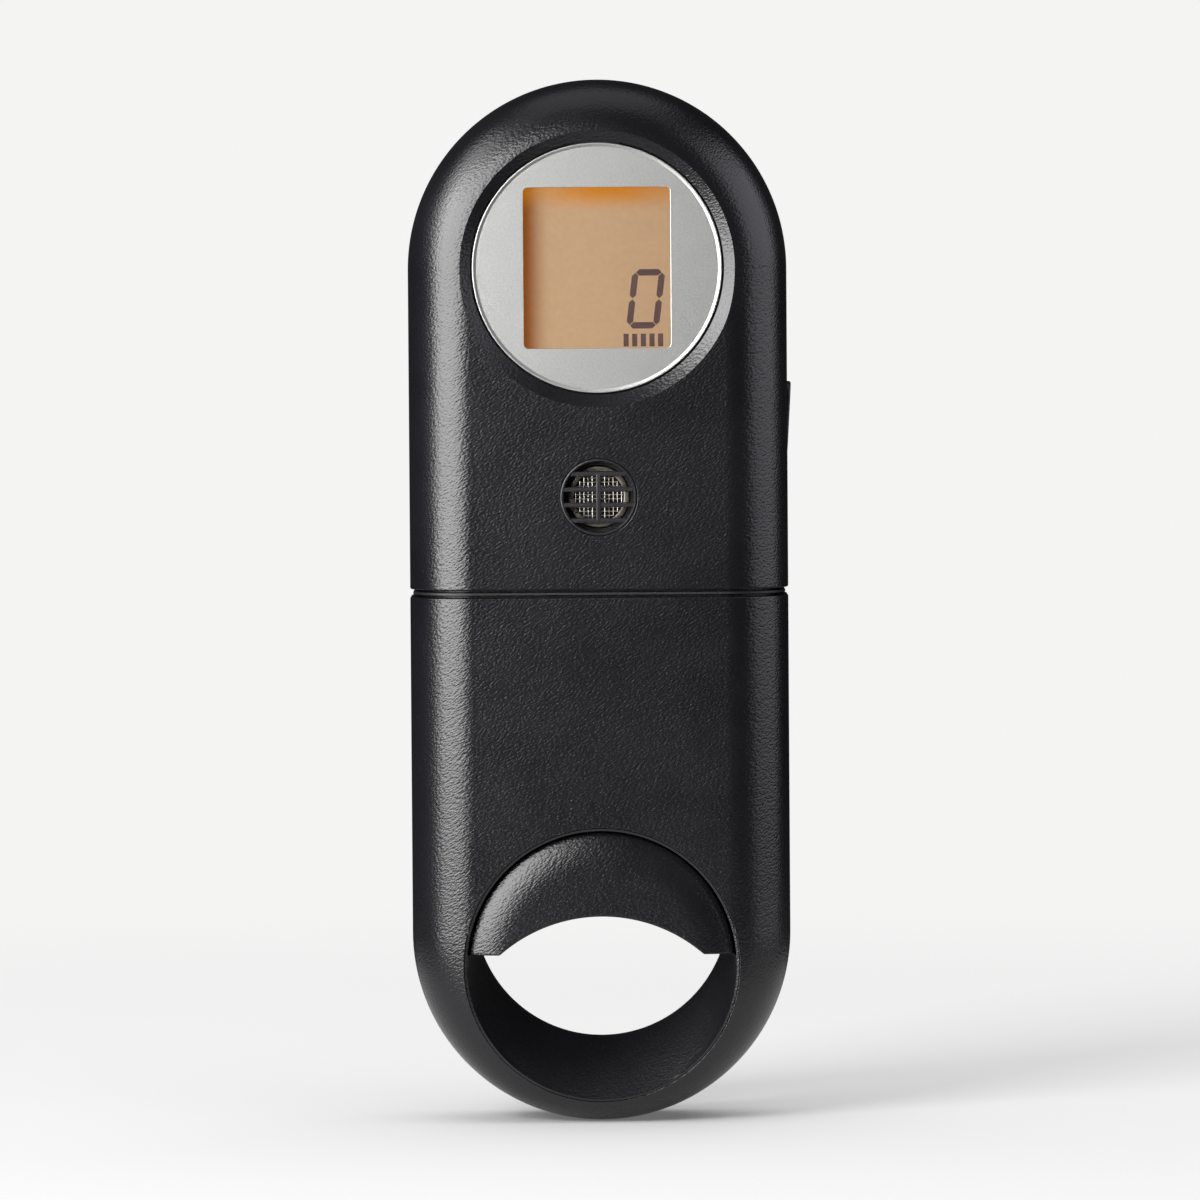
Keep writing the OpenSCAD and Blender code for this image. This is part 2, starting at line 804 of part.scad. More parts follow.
// Half of the liner: a sleeve in the casing's hole with a sloping inner wall, cored from
// the parting plane, and a flange behind the casing's wall.
module ring_liner(rear) {
    flange_r = ring_r + 1.2;
    flange_t = 1.3;
    color([0.09, 0.09, 0.10]) on_side(rear) difference() {
        intersection() {
            union() {
                intersection() {
                    disc_along_y(ring_r - 2 * slip, front_y, 0, 0, ring_z);
                    body_solid(bezel_recess + bezel_t + slip);
                }
                intersection() {
                    disc_along_y(flange_r, front_y + wall + 0.1, front_y + wall + 0.1 + flange_t,
                                 0, ring_z);
                    body_solid(wall + 0.1);
                }
            }
            block([-body_w, front_y, 0], [body_w, 0, liner_top_z]);
        }
        funnel(0);
        difference() {
            disc_along_y(ring_r - liner_wall, funnel_y + liner_wall, past, 0, ring_z);
            funnel(liner_wall);
            block([-body_w, -body_t, liner_top_z - liner_wall], [body_w, body_t, body_h]);
        }
    }
}

module ring_liner_front() ring_liner(false);

module ring_liner_rear() ring_liner(true);

// ---- Trigger -------------------------------------------------------------

// Half of the trigger's section across the ring's axis: level to dome_start_r, then curving
// down to the rim.
module trigger_section() {
    crown = -crown_y;
    translate([0, -crown]) square([dome_start_r, 2 * crown]);
    intersection() {
        translate([dome_start_r, crown - dome_r]) circle(dome_r);
        translate([dome_start_r, dome_r - crown]) circle(dome_r);
        translate([dome_start_r, -crown]) square([trigger_r - dome_start_r, 2 * crown]);
    }
}

// The low rib round the rim, inside the housings, shuts the slit between trigger and ring.
module trigger() {
    rod_low = 31;
    spring_play = 0.1;
    rib_r = trigger_r + 0.65;
    rib_half_t = 3;
    rib_low_z = trigger_end_z + 1.2;
    color([0.10, 0.10, 0.11]) difference() {
        union() {
            intersection() {
                translate([0, 0, ring_z]) rotate([90, 0, 0]) rotate_extrude() trigger_section();
                block([-body_w, -body_t, trigger_end_z], [body_w, body_t, body_h]);
            }
            intersection() {
                ring_along_y(rib_r, trigger_r - 1, -rib_half_t, rib_half_t, 0, ring_z);
                block([-body_w, -body_t, rib_low_z], [body_w, body_t, body_h]);
            }
            for (x = [-rod_x, rod_x]) bar_along_z(3.2, 36, boss_top_z, x);
        }
        disc_along_y(finger_arc_r, -body_t, body_t, 0, finger_arc_z);
        for (x = [-rod_x, rod_x]) {
            bar_along_z(rod_r + 0.01, rod_low, body_h, x);
            bar_along_z(return_coil_r + return_wire / 2 + spring_play, boss_top_z, body_h, x);
        }
        bar_along_z(2.01, 36, body_h);
    }
}

module guide_rods() {
    groove_z = frame_z + frame_t + 0.1;
    color(steel_colour) for (x = [-rod_x, rod_x]) difference() {
        bar_along_z(rod_r, 31.05, groove_z + 3, x);
        difference() {
            bar_along_z(rod_r + past, groove_z, groove_z + 0.9, x);
            bar_along_z(rod_r - 0.25, groove_z - past, groove_z + 0.9 + past, x);
        }
    }
}

// Open spring clips that stop the rods from dropping through their bushes.
module rod_clips() {
    clip_z = frame_z + frame_t + 0.12;
    color([0.25, 0.25, 0.27]) for (x = [-rod_x, rod_x]) difference() {
        bar_along_z(3, clip_z, clip_z + 0.8, x);
        bar_along_z(rod_r - 0.2, clip_z - past, clip_z + 2, x);
        block([x - 0.9, 0, clip_z - past], [x + 0.9, 4, clip_z + 2]);
    }
}

// Shaft fixed in the trigger's crown, with a collar that carries the load spring.
module plunger() {
    color(steel_colour) {
        bar_along_z(2, 36.05, plunger_head_z);
        bar_along_z(3.6, plunger_head_z, plunger_head_z + plunger_head_t);
        bar_along_z(1.6, plunger_head_z + plunger_head_t, plunger_head_z + 3.6);
    }
}

module load_spring() {
    color([0.45, 0.46, 0.48])
        coil(2.6, load_wire, 6, plunger_head_z + plunger_head_t, button_flange_z);
}

module return_springs() {
    color([0.45, 0.46, 0.48]) for (x = [-rod_x, rod_x]) translate([x, 0, 0])
        coil(return_coil_r, return_wire, 5, boss_top_z, frame_z - bush_flange_t);
}

// ---- Load cell and its frame ---------------------------------------------

module guide_bushes() {
    color(brass_colour) for (x = [-rod_x, rod_x]) difference() {
        union() {
            bar_along_z(3.4, frame_z - bush_flange_t, frame_z, x);
            bar_along_z(bush_r, frame_z, frame_z + frame_t, x);
        }
        bar_along_z(rod_r + slip, frame_z - 3, frame_z + frame_t + past, x);
    }
}

// Cross-member that guides the rods, with an upright at each end to carry the load cell.
module load_frame() {
    color([0.70, 0.71, 0.72]) difference() {
        union() {
            block([-frame_half, -frame_depth, frame_z],
                  [frame_half, frame_depth, frame_z + frame_t]);
            both_sides() block([frame_half - upright_w, -frame_depth, frame_z],
                               [frame_half, frame_depth, cell_bar_z]);
        }
        for (x = [-rod_x, rod_x]) bar_along_z(bush_r + 0.02, frame_z - past, body_h, x);
        bar_along_z(4.5, frame_z - past, body_h);
        both_sides() disc_along_y(screw_r + 2 * slip, -body_t, body_t,
                                  frame_screw_x, frame_screw_z);
        both_sides() bar_along_z(screw_r + slip, cell_bar_z - 5, body_h,
                                 frame_half - upright_w / 2);
    }
}

module frame_screws() {
    color(steel_colour) both_sides()
        screw_y(frame_screw_x, frame_screw_z, -frame_depth, 10.2,
                screw_r, screw_head_r, screw_head_h);
}

// Beam held at both ends and loaded in the middle, with pairs of joined holes that make
// it bend where the gauges lie.
module load_cell() {
    hole_r = 2.2;
    hole_x = [6.5, 12.5];
    mid_z = cell_bar_z + cell_bar_h / 2;
    color([0.74, 0.75, 0.77]) difference() {
        block([-frame_half, -cell_bar_depth, cell_bar_z],
              [frame_half, cell_bar_depth, cell_bar_z + cell_bar_h]);
        both_sides() {
            for (x = hole_x) disc_along_y(hole_r, -body_t, body_t, x, mid_z);
            block([hole_x[0], -body_t, mid_z - 0.5], [hole_x[1], body_t, mid_z + 0.5]);
            bar_along_z(screw_r + 2 * slip, cell_bar_z - past, body_h,
                        frame_half - upright_w / 2);
        }
        bar_along_z(1.25, cell_bar_z - past, cell_bar_z + 3.5);
    }
}

module strain_gauges() {
    gauge = [4, 3, 0.15];
    color([0.85, 0.60, 0.25]) for (x = [-12.5, -6.5, 6.5, 12.5])
        translate([x, 0, cell_bar_z + cell_bar_h + gauge[2] / 2]) cube(gauge, center = true);
}

module load_cell_screws() {
    head_z = cell_bar_z + cell_bar_h;
    color(steel_colour) both_sides() translate([frame_half - upright_w / 2, 0, head_z])
        difference() {
            union() {
                bar_along_z(screw_r, -cell_bar_h - 4.5, 0);
                bar_along_z(screw_head_r, 0, screw_head_h);
            }
            translate([0, 0, screw_head_h]) cylinder(h = 1.8, r = 1.1, center = true, $fn = 6);
        }
}

// Button under the beam's middle that the load spring pushes on.
module load_button() {
    color(steel_colour) {
        bar_along_z(3.6, button_flange_z, cell_bar_z);
        bar_along_z(1.6, button_flange_z - 1.9, button_flange_z);
        bar_along_z(1.2, cell_bar_z, cell_bar_z + 3.2);
    }
}

// Flat ribbon from the top of the load cell up to the plug on the board.
module load_cell_cable() {
    ribbon_half = 2.5;
    t = 0.7;
    low_z = cell_bar_z + cell_bar_h + 0.02;
    color([0.45, 0.45, 0.47])
        translate([-ribbon_half, 0, 0]) rotate([90, 0, 90]) linear_extrude(2 * ribbon_half)
            polygon([[0, low_z], [t, low_z], [t, low_z + 4.5], [-6.2 + t, board_low_z - 3],
                     [-6.2 + t, board_low_z + 1], [-6.2, board_low_z + 1],
                     [-6.2, board_low_z - 3.2], [0, low_z + 4.2]]);
}

module cable_plug() {
    color(white_colour) difference() {
        block([-4, board_y - 3.2, board_low_z + 0.6], [4, board_y, board_low_z + 4]);
        block([-2.7, -6.4, board_low_z], [2.7, -5.3, board_low_z + 1.2]);
    }
}

// ---- Assembly ------------------------------------------------------------

upper_front_shell();
upper_rear_shell();
lower_front_shell();
lower_rear_shell();
seam_band();
casing_screws();
battery_door();
display_disc();
display_window();
lcd_glass();
lcd_segments();
lcd_frame();
light_guide();
backlight_leds();
zebra_strip();
main_board();
board_screws();
microcontroller();
amplifier_chip();
ceramic_capacitors();
crystal();
tact_switch();
side_button();
button_pin();
sounder_grille();
sounder_gasket();
sounder_can();
sounder_mesh();
battery_tray();
cell_left();
cell_right();
contact_springs();
contact_plates();
battery_leads();
ring_bezel_front();
ring_bezel_rear();
ring_liner_front();
ring_liner_rear();
trigger();
guide_rods();
rod_clips();
plunger();
load_spring();
return_springs();
guide_bushes();
load_frame();
frame_screws();
load_cell();
strain_gauges();
load_cell_screws();
load_button();
load_cell_cable();
cable_plug();
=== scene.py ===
"""Visual model of a hand dynamometer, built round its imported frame.

Lengths are in metres. The front faces -Y, +X is to the right and +Z is up.
"""
import logging
import math
from dataclasses import dataclass, field
from enum import Enum
from typing import Callable, Sequence, Union

import bmesh
import bpy
from mathutils import Matrix, Vector


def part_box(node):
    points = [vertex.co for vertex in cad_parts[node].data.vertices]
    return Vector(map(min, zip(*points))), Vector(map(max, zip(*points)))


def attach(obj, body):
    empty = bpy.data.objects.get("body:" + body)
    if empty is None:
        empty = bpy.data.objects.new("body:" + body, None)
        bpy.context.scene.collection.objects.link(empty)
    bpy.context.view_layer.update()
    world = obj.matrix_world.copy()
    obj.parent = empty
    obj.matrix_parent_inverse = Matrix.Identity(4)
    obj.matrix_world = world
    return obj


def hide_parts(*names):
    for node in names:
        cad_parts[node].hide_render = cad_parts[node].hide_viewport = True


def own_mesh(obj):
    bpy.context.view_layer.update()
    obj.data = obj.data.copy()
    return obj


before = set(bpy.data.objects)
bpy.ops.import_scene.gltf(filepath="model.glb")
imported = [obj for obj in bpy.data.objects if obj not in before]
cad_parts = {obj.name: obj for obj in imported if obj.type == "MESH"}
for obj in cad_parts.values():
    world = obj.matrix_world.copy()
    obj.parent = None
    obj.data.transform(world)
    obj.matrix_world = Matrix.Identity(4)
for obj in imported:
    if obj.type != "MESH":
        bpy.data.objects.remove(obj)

LOG = logging.getLogger("hand_dynamometer")
MM = 0.001
TURN = 2 * math.pi
QUARTER = math.pi / 2
MERGE = 1e-7
ON_SURFACE = 0.03 * MM
SAME_WAY = 0.96

Pair = tuple[float, float]
Point = tuple[float, float, float]
Colour = tuple[float, float, float]


class Side(Enum):
    """Front or rear half of the object, as the sign of its Y."""

    FRONT = -1
    REAR = 1


class End(Enum):
    """Upper or lower housing, as the sign of the way from the seam to the rounded end."""

    UPPER = 1
    LOWER = -1


# ---- Form of the casing ---------------------------------------------------


@dataclass(frozen=True)
class CasingForm:
    """Outer form of the casing: a flat bar with round ends and rounded front and rear edges."""

    half_w: float
    half_t: float
    height: float
    edge_r: float = 9.4 * MM
    wall: float = 2.0 * MM

    @property
    def flat_r(self) -> float:
        """Distance from the spine at which the faces start to round."""
        return self.half_w - self.edge_r

    def axis_z(self, end: End) -> float:
        """Height of the axis of a rounded end."""
        return self.height - self.half_w if end is End.UPPER else self.half_w

    def spine(self, x: float, z: float) -> Point:
        """Distance of a point from the casing's spine, and its direction from it.

        Args:
            x: Sideways place of the point.
            z: Height of the point.

        Returns:
            The distance, and the X and Z of the unit direction.
        """
        near = min(max(z, self.axis_z(End.LOWER)), self.axis_z(End.UPPER))
        distance = math.hypot(x, z - near)
        if distance < MERGE:
            return 0.0, 1.0, 0.0
        return distance, x / distance, (z - near) / distance

    def depth(self, x: float, z: float, inset: float = 0.0) -> float:
        """Distance of the casing's face from the parting plane.

        Args:
            x: Sideways place.
            z: Height.
            inset: How far below the outer surface.

        Returns:
            The distance along Y.
        """
        r = self.edge_r - inset
        over = max(self.spine(x, z)[0] - self.flat_r, 0.0)
        return self.half_t - self.edge_r + math.sqrt(max(r * r - over * over, 0.0))

    def outward(self, p: Vector) -> tuple[float, Vector]:
        """Signed distance of a point from the surface, and the surface's normal near it.

        Args:
            p: The point.

        Returns:
            The distance, positive outside, and the unit normal.
        """
        distance, dx, dz = self.spine(p.x, p.z)
        out = max(distance - self.flat_r, 0.0)
        along = max(abs(p.y) - (self.half_t - self.edge_r), 0.0)
        length = math.hypot(out, along)
        if length < MERGE:
            return -self.edge_r, Vector((0, -1, 0))
        normal = Vector((out * dx, math.copysign(along, p.y), out * dz)) / length
        return length - self.edge_r, normal


# ---- Outlines -------------------------------------------------------------


@dataclass(frozen=True)
class Disc:
    """Circle in X and Z."""

    r: float
    z: float
    x: float = 0.0
    steps: int = 128

    def points(self, grow: float = 0.0) -> list[Pair]:
        """Points of the circle, grown by a margin."""
        r = self.r + grow
        turns = [TURN * i / self.steps for i in range(self.steps)]
        return [(self.x + r * math.cos(a), self.z + r * math.sin(a)) for a in turns]


@dataclass(frozen=True)
class Plate:
    """Rectangle in X and Z with round corners."""

    w: float
    h: float
    corner: float
    z: float
    x: float = 0.0
    steps: int = 10

    def points(self, grow: float = 0.0) -> list[Pair]:
        """Points of the outline, grown by a margin."""
        r = max(self.corner + grow, 0.01 * MM)
        reach_x = self.w / 2 + grow - r
        reach_z = self.h / 2 + grow - r
        found = []
        for quarter, (sx, sz) in enumerate(((1, 1), (-1, 1), (-1, -1), (1, -1))):
            for i in range(self.steps + 1):
                a = (quarter + i / self.steps) * QUARTER
                found.append((self.x + sx * reach_x + r * math.cos(a),
                              self.z + sz * reach_z + r * math.sin(a)))
        return found


Outline = Union[Disc, Plate]


def quarter_round(size: float, steps: int = 4) -> list[Pair]:
    """Steps of a quarter circle: from (0, size) to (size, 0), measured from its two sides."""
    turns = [QUARTER * i / steps for i in range(steps + 1)]
    return [(size * (1 - math.cos(a)), size * (1 - math.sin(a))) for a in turns]


# ---- Mesh helpers ---------------------------------------------------------


def mesh_object(name: str, points: Sequence[Point],
                faces: Sequence[Sequence[int]]) -> bpy.types.Object:
    """Makes an object from points and faces, with doubles merged and faces outwards.

    Args:
        name: The object's name.
        points: The vertices.
        faces: Vertex numbers of each face.

    Returns:
        The new object, linked to the scene.
    """
    mesh = bpy.data.meshes.new(name)
    mesh.from_pydata([tuple(p) for p in points], [], [tuple(f) for f in faces])
    grid = bmesh.new()
    grid.from_mesh(mesh)
    bmesh.ops.remove_doubles(grid, verts=grid.verts, dist=MERGE)
    bmesh.ops.recalc_face_normals(grid, faces=grid.faces)
    grid.to_mesh(mesh)
    grid.free()
    made = bpy.data.objects.new(name, mesh)
    bpy.context.scene.collection.objects.link(made)
    return made


def loft(name: str, rings: Sequence[Sequence[Point]], wrap: bool = False) -> bpy.types.Object:
    """Joins closed rings of points into a skin.

    Args:
        name: The object's name.
        rings: Rings with the same number of points.
        wrap: Joins the last ring to the first. Otherwise both ends are capped.

    Returns:
        The new object.
    """
    count = len(rings[0])
    points = [p for ring in rings for p in ring]
    faces = []
    for i in range(len(rings) if wrap else len(rings) - 1):
        a, b = i * count, (i + 1) % len(rings) * count
        for k in range(count):
            n = (k + 1) % count
            faces.append((a + k, a + n, b + n, b + k))
    if not wrap:
        last = (len(rings) - 1) * count
        faces.append(tuple(range(count)))
        faces.append(tuple(last + k for k in reversed(range(count))))
    return mesh_object(name, points, faces)


def prism(name: str, outline: Outline, stations: Sequence[Pair]) -> bpy.types.Object:
    """Plate or plug along Y whose outline grows or shrinks on the way.

    Args:
        name: The object's name.
        outline: Its outline in X and Z.
        stations: The Y and the margin of each ring.

    Returns:
        The new object.
    """
    return loft(name, [[(x, y, z) for x, z in outline.points(grow)] for y, grow in stations])


def lathe(name: str, profile: Sequence[Pair], x: float = 0.0, z: float = 0.0,
          steps: int = 128) -> bpy.types.Object:
    """Solid of revolution about an axis along Y.

    Args:
        name: The object's name.
        profile: Closed outline of radius and Y.
        x: Sideways place of the axis.
        z: Height of the axis.
        steps: Number of steps round the axis.

    Returns:
        The new object.
    """
    turns = [TURN * i / steps for i in range(steps)]
    rings = [[(x + r * math.cos(a), y, z + r * math.sin(a)) for r, y in profile] for a in turns]
    return loft(name, rings, wrap=True)


def box(name: str, low: Point, high: Point, rounding: float = 0.15 * MM) -> bpy.types.Object:
    """Block with rounded edges, given by its low and high corners."""
    wide, tall = high[0] - low[0], high[2] - low[2]
    mid_x, mid_z = low[0] + wide / 2, low[2] + tall / 2
    outline = Plate(wide, tall, rounding, mid_z, mid_x, steps=3)
    ease = 0.3 * rounding
    stations = [(low[1], -rounding), (low[1] + ease, -ease), (low[1] + rounding, 0.0),
                (high[1] - rounding, 0.0), (high[1] - ease, -ease), (high[1], -rounding)]
    return prism(name, outline, stations)


def bake(piece: bpy.types.Object) -> bpy.types.Object:
    """Turns a piece and its modifiers into a plain mesh."""
    graph = bpy.context.evaluated_depsgraph_get()
    made = bpy.data.meshes.new_from_object(piece.evaluated_get(graph))
    piece.modifiers.clear()
    old, piece.data = piece.data, made
    made.name = piece.name
    bpy.data.meshes.remove(old)
    return piece


def discard(piece: bpy.types.Object) -> None:
    """Removes an object and its mesh."""
    mesh = piece.data
    bpy.data.objects.remove(piece)
    bpy.data.meshes.remove(mesh)


def carve(target: bpy.types.Object, tool: bpy.types.Object, operation: str = "DIFFERENCE") -> None:
    """Cuts a tool out of a piece, or joins it on, and removes the tool.

    Args:
        target: The piece.
        tool: The closed shape to cut or join.
        operation: DIFFERENCE, UNION or INTERSECT.
    """
    change = target.modifiers.new("carve", "BOOLEAN")
    change.object = tool
    change.operation = operation
    change.solver = "MANIFOLD"
    bake(target)
    if not target.data.polygons:
        raise ValueError(f"{tool.name} left nothing of {target.name}")
    discard(tool)


def join(target: bpy.types.Object, *others: bpy.types.Object) -> bpy.types.Object:
    """Adds the meshes of other pieces to a piece, and removes them."""
    grid = bmesh.new()
    grid.from_mesh(target.data)
    for other in others:
        grid.from_mesh(other.data)
        discard(other)
    grid.to_mesh(target.data)
    grid.free()
    return target


def round_edges(piece: bpy.types.Object, width: float, steps: int = 3, angle: float = 35.0) -> None:
    """Rounds every edge sharper than an angle."""
    change = piece.modifiers.new("round", "BEVEL")
    change.width = width
    change.segments = steps
    change.limit_method = "ANGLE"
    change.angle_limit = math.radians(angle)
    change.use_clamp_overlap = True
    bake(piece)


def shade(piece: bpy.types.Object, form: CasingForm | None = None, angle: float = 38.0) -> None:
    """Gives a piece smooth shading with crisp edges.

    Args:
        piece: The piece, whose mesh is final.
        form: Where given, faces that lie on the casing's surface take its exact normals.
        angle: Edges sharper than this stay crisp, in degrees.
    """
    mesh = piece.data
    mesh.polygons.foreach_set("use_smooth", [True] * len(mesh.polygons))
    mesh.set_sharp_from_angle(angle=math.radians(angle))
    level = piece.modifiers.new("level", "WEIGHTED_NORMAL")
    level.mode = "FACE_AREA"
    level.keep_sharp = True
    bake(piece)
    if form is None:
        return
    mesh = piece.data
    normals = [n.vector.copy() for n in mesh.corner_normals]
    for face in mesh.polygons:
        for corner in face.loop_indices:
            place = mesh.vertices[mesh.loops[corner].vertex_index].co
            height, normal = form.outward(place)
            if abs(height) < ON_SURFACE and normal.dot(face.normal) > SAME_WAY:
                normals[corner] = normal
    mesh.normals_split_custom_set(normals)


# ---- Node helpers ---------------------------------------------------------


class NodeBench:
    """Adds nodes to a shader or geometry tree and joins them."""

    def __init__(self, tree: bpy.types.NodeTree) -> None:
        """Takes the tree to work on."""
        self.tree = tree

    def add(self, kind: str, inputs: dict | None = None, **settings: object) -> bpy.types.Node:
        """Adds a node.

        Args:
            kind: The node's type name.
            inputs: A value or a socket for each input, by name or number.
            settings: The node's own properties.

        Returns:
            The new node.
        """
        node = self.tree.nodes.new(kind)
        for key, value in settings.items():
            setattr(node, key, value)
        for key, value in (inputs or {}).items():
            if isinstance(value, bpy.types.NodeSocket):
                self.tree.links.new(value, node.inputs[key])
            else:
                node.inputs[key].default_value = value
        return node

    def place(self) -> bpy.types.NodeSocket:
        """Adds the object's own coordinates and returns them."""
        return self.add("ShaderNodeTexCoord").outputs["Object"]

    def math(self, operation: str, *values: object) -> bpy.types.NodeSocket:
        """Adds a Math node and returns its result."""
        return self.add("ShaderNodeMath", dict(enumerate(values)), operation=operation).outputs[0]

    def spread(self, value: bpy.types.NodeSocket, low: float, high: float,
               to_low: float = 0.0, to_high: float = 1.0) -> bpy.types.NodeSocket:
        """Maps a range of values smoothly to another and returns the result."""
        ends = {"Value": value, "From Min": low, "From Max": high,
                "To Min": to_low, "To Max": to_high}
        node = self.add("ShaderNodeMapRange", ends, interpolation_type="SMOOTHSTEP")
        return node.outputs["Result"]

    def blend(self, share: object, first: object, second: object) -> bpy.types.NodeSocket:
        """Mixes two colours and returns the result."""
        node = self.tree.nodes.new("ShaderNodeMix")
        node.data_type = "RGBA"
        for number, value in ((0, share), (6, first), (7, second)):
            if isinstance(value, bpy.types.NodeSocket):
                self.tree.links.new(value, node.inputs[number])
            else:
                node.inputs[number].default_value = value if number == 0 else (*value, 1.0)
        return node.outputs[2]


def new_group(name: str, kind: str, inputs: Sequence[tuple], outputs: Sequence[tuple]) -> tuple:
    """Makes a node group with named sockets.

    Args:
        name: The group's name.
        kind: ShaderNodeTree or GeometryNodeTree.
        inputs: Name, socket type and default (or None) of each input.
        outputs: Name and socket type of each output.

    Returns:
        The tree, its bench, its input sockets by name, and its output node.
    """
    tree = bpy.data.node_groups.new(name, kind)
    for label, socket, default in inputs:
        made = tree.interface.new_socket(label, in_out="INPUT", socket_type=socket)
        if default is not None:
            made.default_value = default
    for label, socket in outputs:
        tree.interface.new_socket(label, in_out="OUTPUT", socket_type=socket)
    bench = NodeBench(tree)
    given = bench.add("NodeGroupInput").outputs
    return tree, bench, given, bench.add("NodeGroupOutput")


# ---- Shared effects -------------------------------------------------------


def moulded_grain() -> bpy.types.NodeTree:
    """Shader group: the leathery texture that a spark-eroded mould leaves on plastic."""
    tree, bench, given, result = new_group(
        "moulded_grain", "ShaderNodeTree",
        [("Cells Per Metre", "NodeSocketFloat", 1500.0), ("Softness", "NodeSocketFloat", 0.5)],
        [("Height", "NodeSocketFloat"), ("Tone", "NodeSocketFloat")])
    place = bench.place()
    slant = bench.add("ShaderNodeVectorRotate", {"Vector": place, "Axis": (0.0, 1.0, 0.0),
                                                 "Angle": math.radians(30)})
    flat = bench.add("ShaderNodeVectorMath", {0: slant.outputs[0], 1: (0.65, 1.0, 1.3)},
                     operation="MULTIPLY").outputs[0]
    warp = bench.add("ShaderNodeTexNoise", {"Vector": flat, "Scale": 1600.0, "Detail": 1.0})
    offset = bench.add("ShaderNodeVectorMath", {0: warp.outputs["Color"], "Scale": 0.25 * MM},
                       operation="SCALE")
    bent = bench.add("ShaderNodeVectorMath", {0: flat, 1: offset.outputs[0]})
    cells = bench.add("ShaderNodeTexVoronoi", {"Vector": bent.outputs[0],
                                               "Scale": given["Cells Per Metre"],
                                               "Smoothness": given["Softness"]},
                      feature="SMOOTH_F1")
    fine = bench.add("ShaderNodeTexNoise", {"Vector": flat, "Scale": 4200.0, "Detail": 2.0})
    crown = bench.math("SUBTRACT", 1.0, cells.outputs["Distance"])
    height = bench.math("MULTIPLY_ADD", fine.outputs["Fac"], 0.35, crown)
    bench.tree.links.new(height, result.inputs["Height"])
    bench.tree.links.new(fine.outputs["Fac"], result.inputs["Tone"])
    return tree


def handled_surface() -> bpy.types.NodeTree:
    """Shader group: soft patches from handling, specks of dust, and fine scuffs."""
    tree, bench, given, result = new_group(
        "handled_surface", "ShaderNodeTree",
        [("Patch Scale", "NodeSocketFloat", 60.0), ("Speck Scale", "NodeSocketFloat", 500.0)],
        [("Patches", "NodeSocketFloat"), ("Specks", "NodeSocketFloat"),
         ("Scuffs", "NodeSocketFloat")])
    place = bench.place()
    patches = bench.add("ShaderNodeTexNoise", {"Vector": place, "Scale": given["Patch Scale"],
                                               "Detail": 3.0, "Roughness": 0.6})
    specks = bench.add("ShaderNodeTexVoronoi", {"Vector": place, "Scale": given["Speck Scale"]})
    slant = bench.add("ShaderNodeVectorMath", {0: place, 1: (1.0, 0.4, 0.12)},
                      operation="MULTIPLY")
    scuffs = bench.add("ShaderNodeTexNoise", {"Vector": slant.outputs[0], "Scale": 2600.0,
                                              "Detail": 2.0})
    rubbed = bench.spread(scuffs.outputs["Fac"], 0.66, 0.72)
    worn = bench.math("MULTIPLY", rubbed, bench.spread(patches.outputs["Fac"], 0.5, 0.7))
    results = {"Patches": bench.spread(patches.outputs["Fac"], 0.35, 0.65),
               "Specks": bench.spread(specks.outputs["Distance"], 0.05, 0.03),
               "Scuffs": worn}
    for label, value in results.items():
        bench.tree.links.new(value, result.inputs[label])
    return tree


def drawn_lines() -> bpy.types.NodeTree:
    """Shader group: fine lines and mottling of drawn, rolled or plated metal."""
    tree, bench, given, result = new_group(
        "drawn_lines", "ShaderNodeTree",
        [("Lines Per Metre", "NodeSocketFloat", 4000.0)],
        [("Lines", "NodeSocketFloat"), ("Mottle", "NodeSocketFloat")])
    place = bench.place()
    long_way = bench.add("ShaderNodeVectorMath", {0: place, 1: (0.06, 1.0, 1.0)},
                         operation="MULTIPLY")
    lines = bench.add("ShaderNodeTexNoise", {"Vector": long_way.outputs[0],
                                             "Scale": given["Lines Per Metre"], "Detail": 2.0})
    mottle = bench.add("ShaderNodeTexNoise", {"Vector": place, "Scale": 350.0, "Detail": 3.0})
    bench.tree.links.new(lines.outputs["Fac"], result.inputs["Lines"])
    bench.tree.links.new(mottle.outputs["Fac"], result.inputs["Mottle"])
    return tree


@dataclass
class Effects:
    """The shared shader groups, each made once."""

    grain: bpy.types.NodeTree = field(default_factory=moulded_grain)
    handled: bpy.types.NodeTree = field(default_factory=handled_surface)
    drawn: bpy.types.NodeTree = field(default_factory=drawn_lines)


EFFECTS = Effects()


# ---- Finishes -------------------------------------------------------------


def grey(value: float) -> Colour:
    """Neutral colour of one value."""
    return (value, value, value)


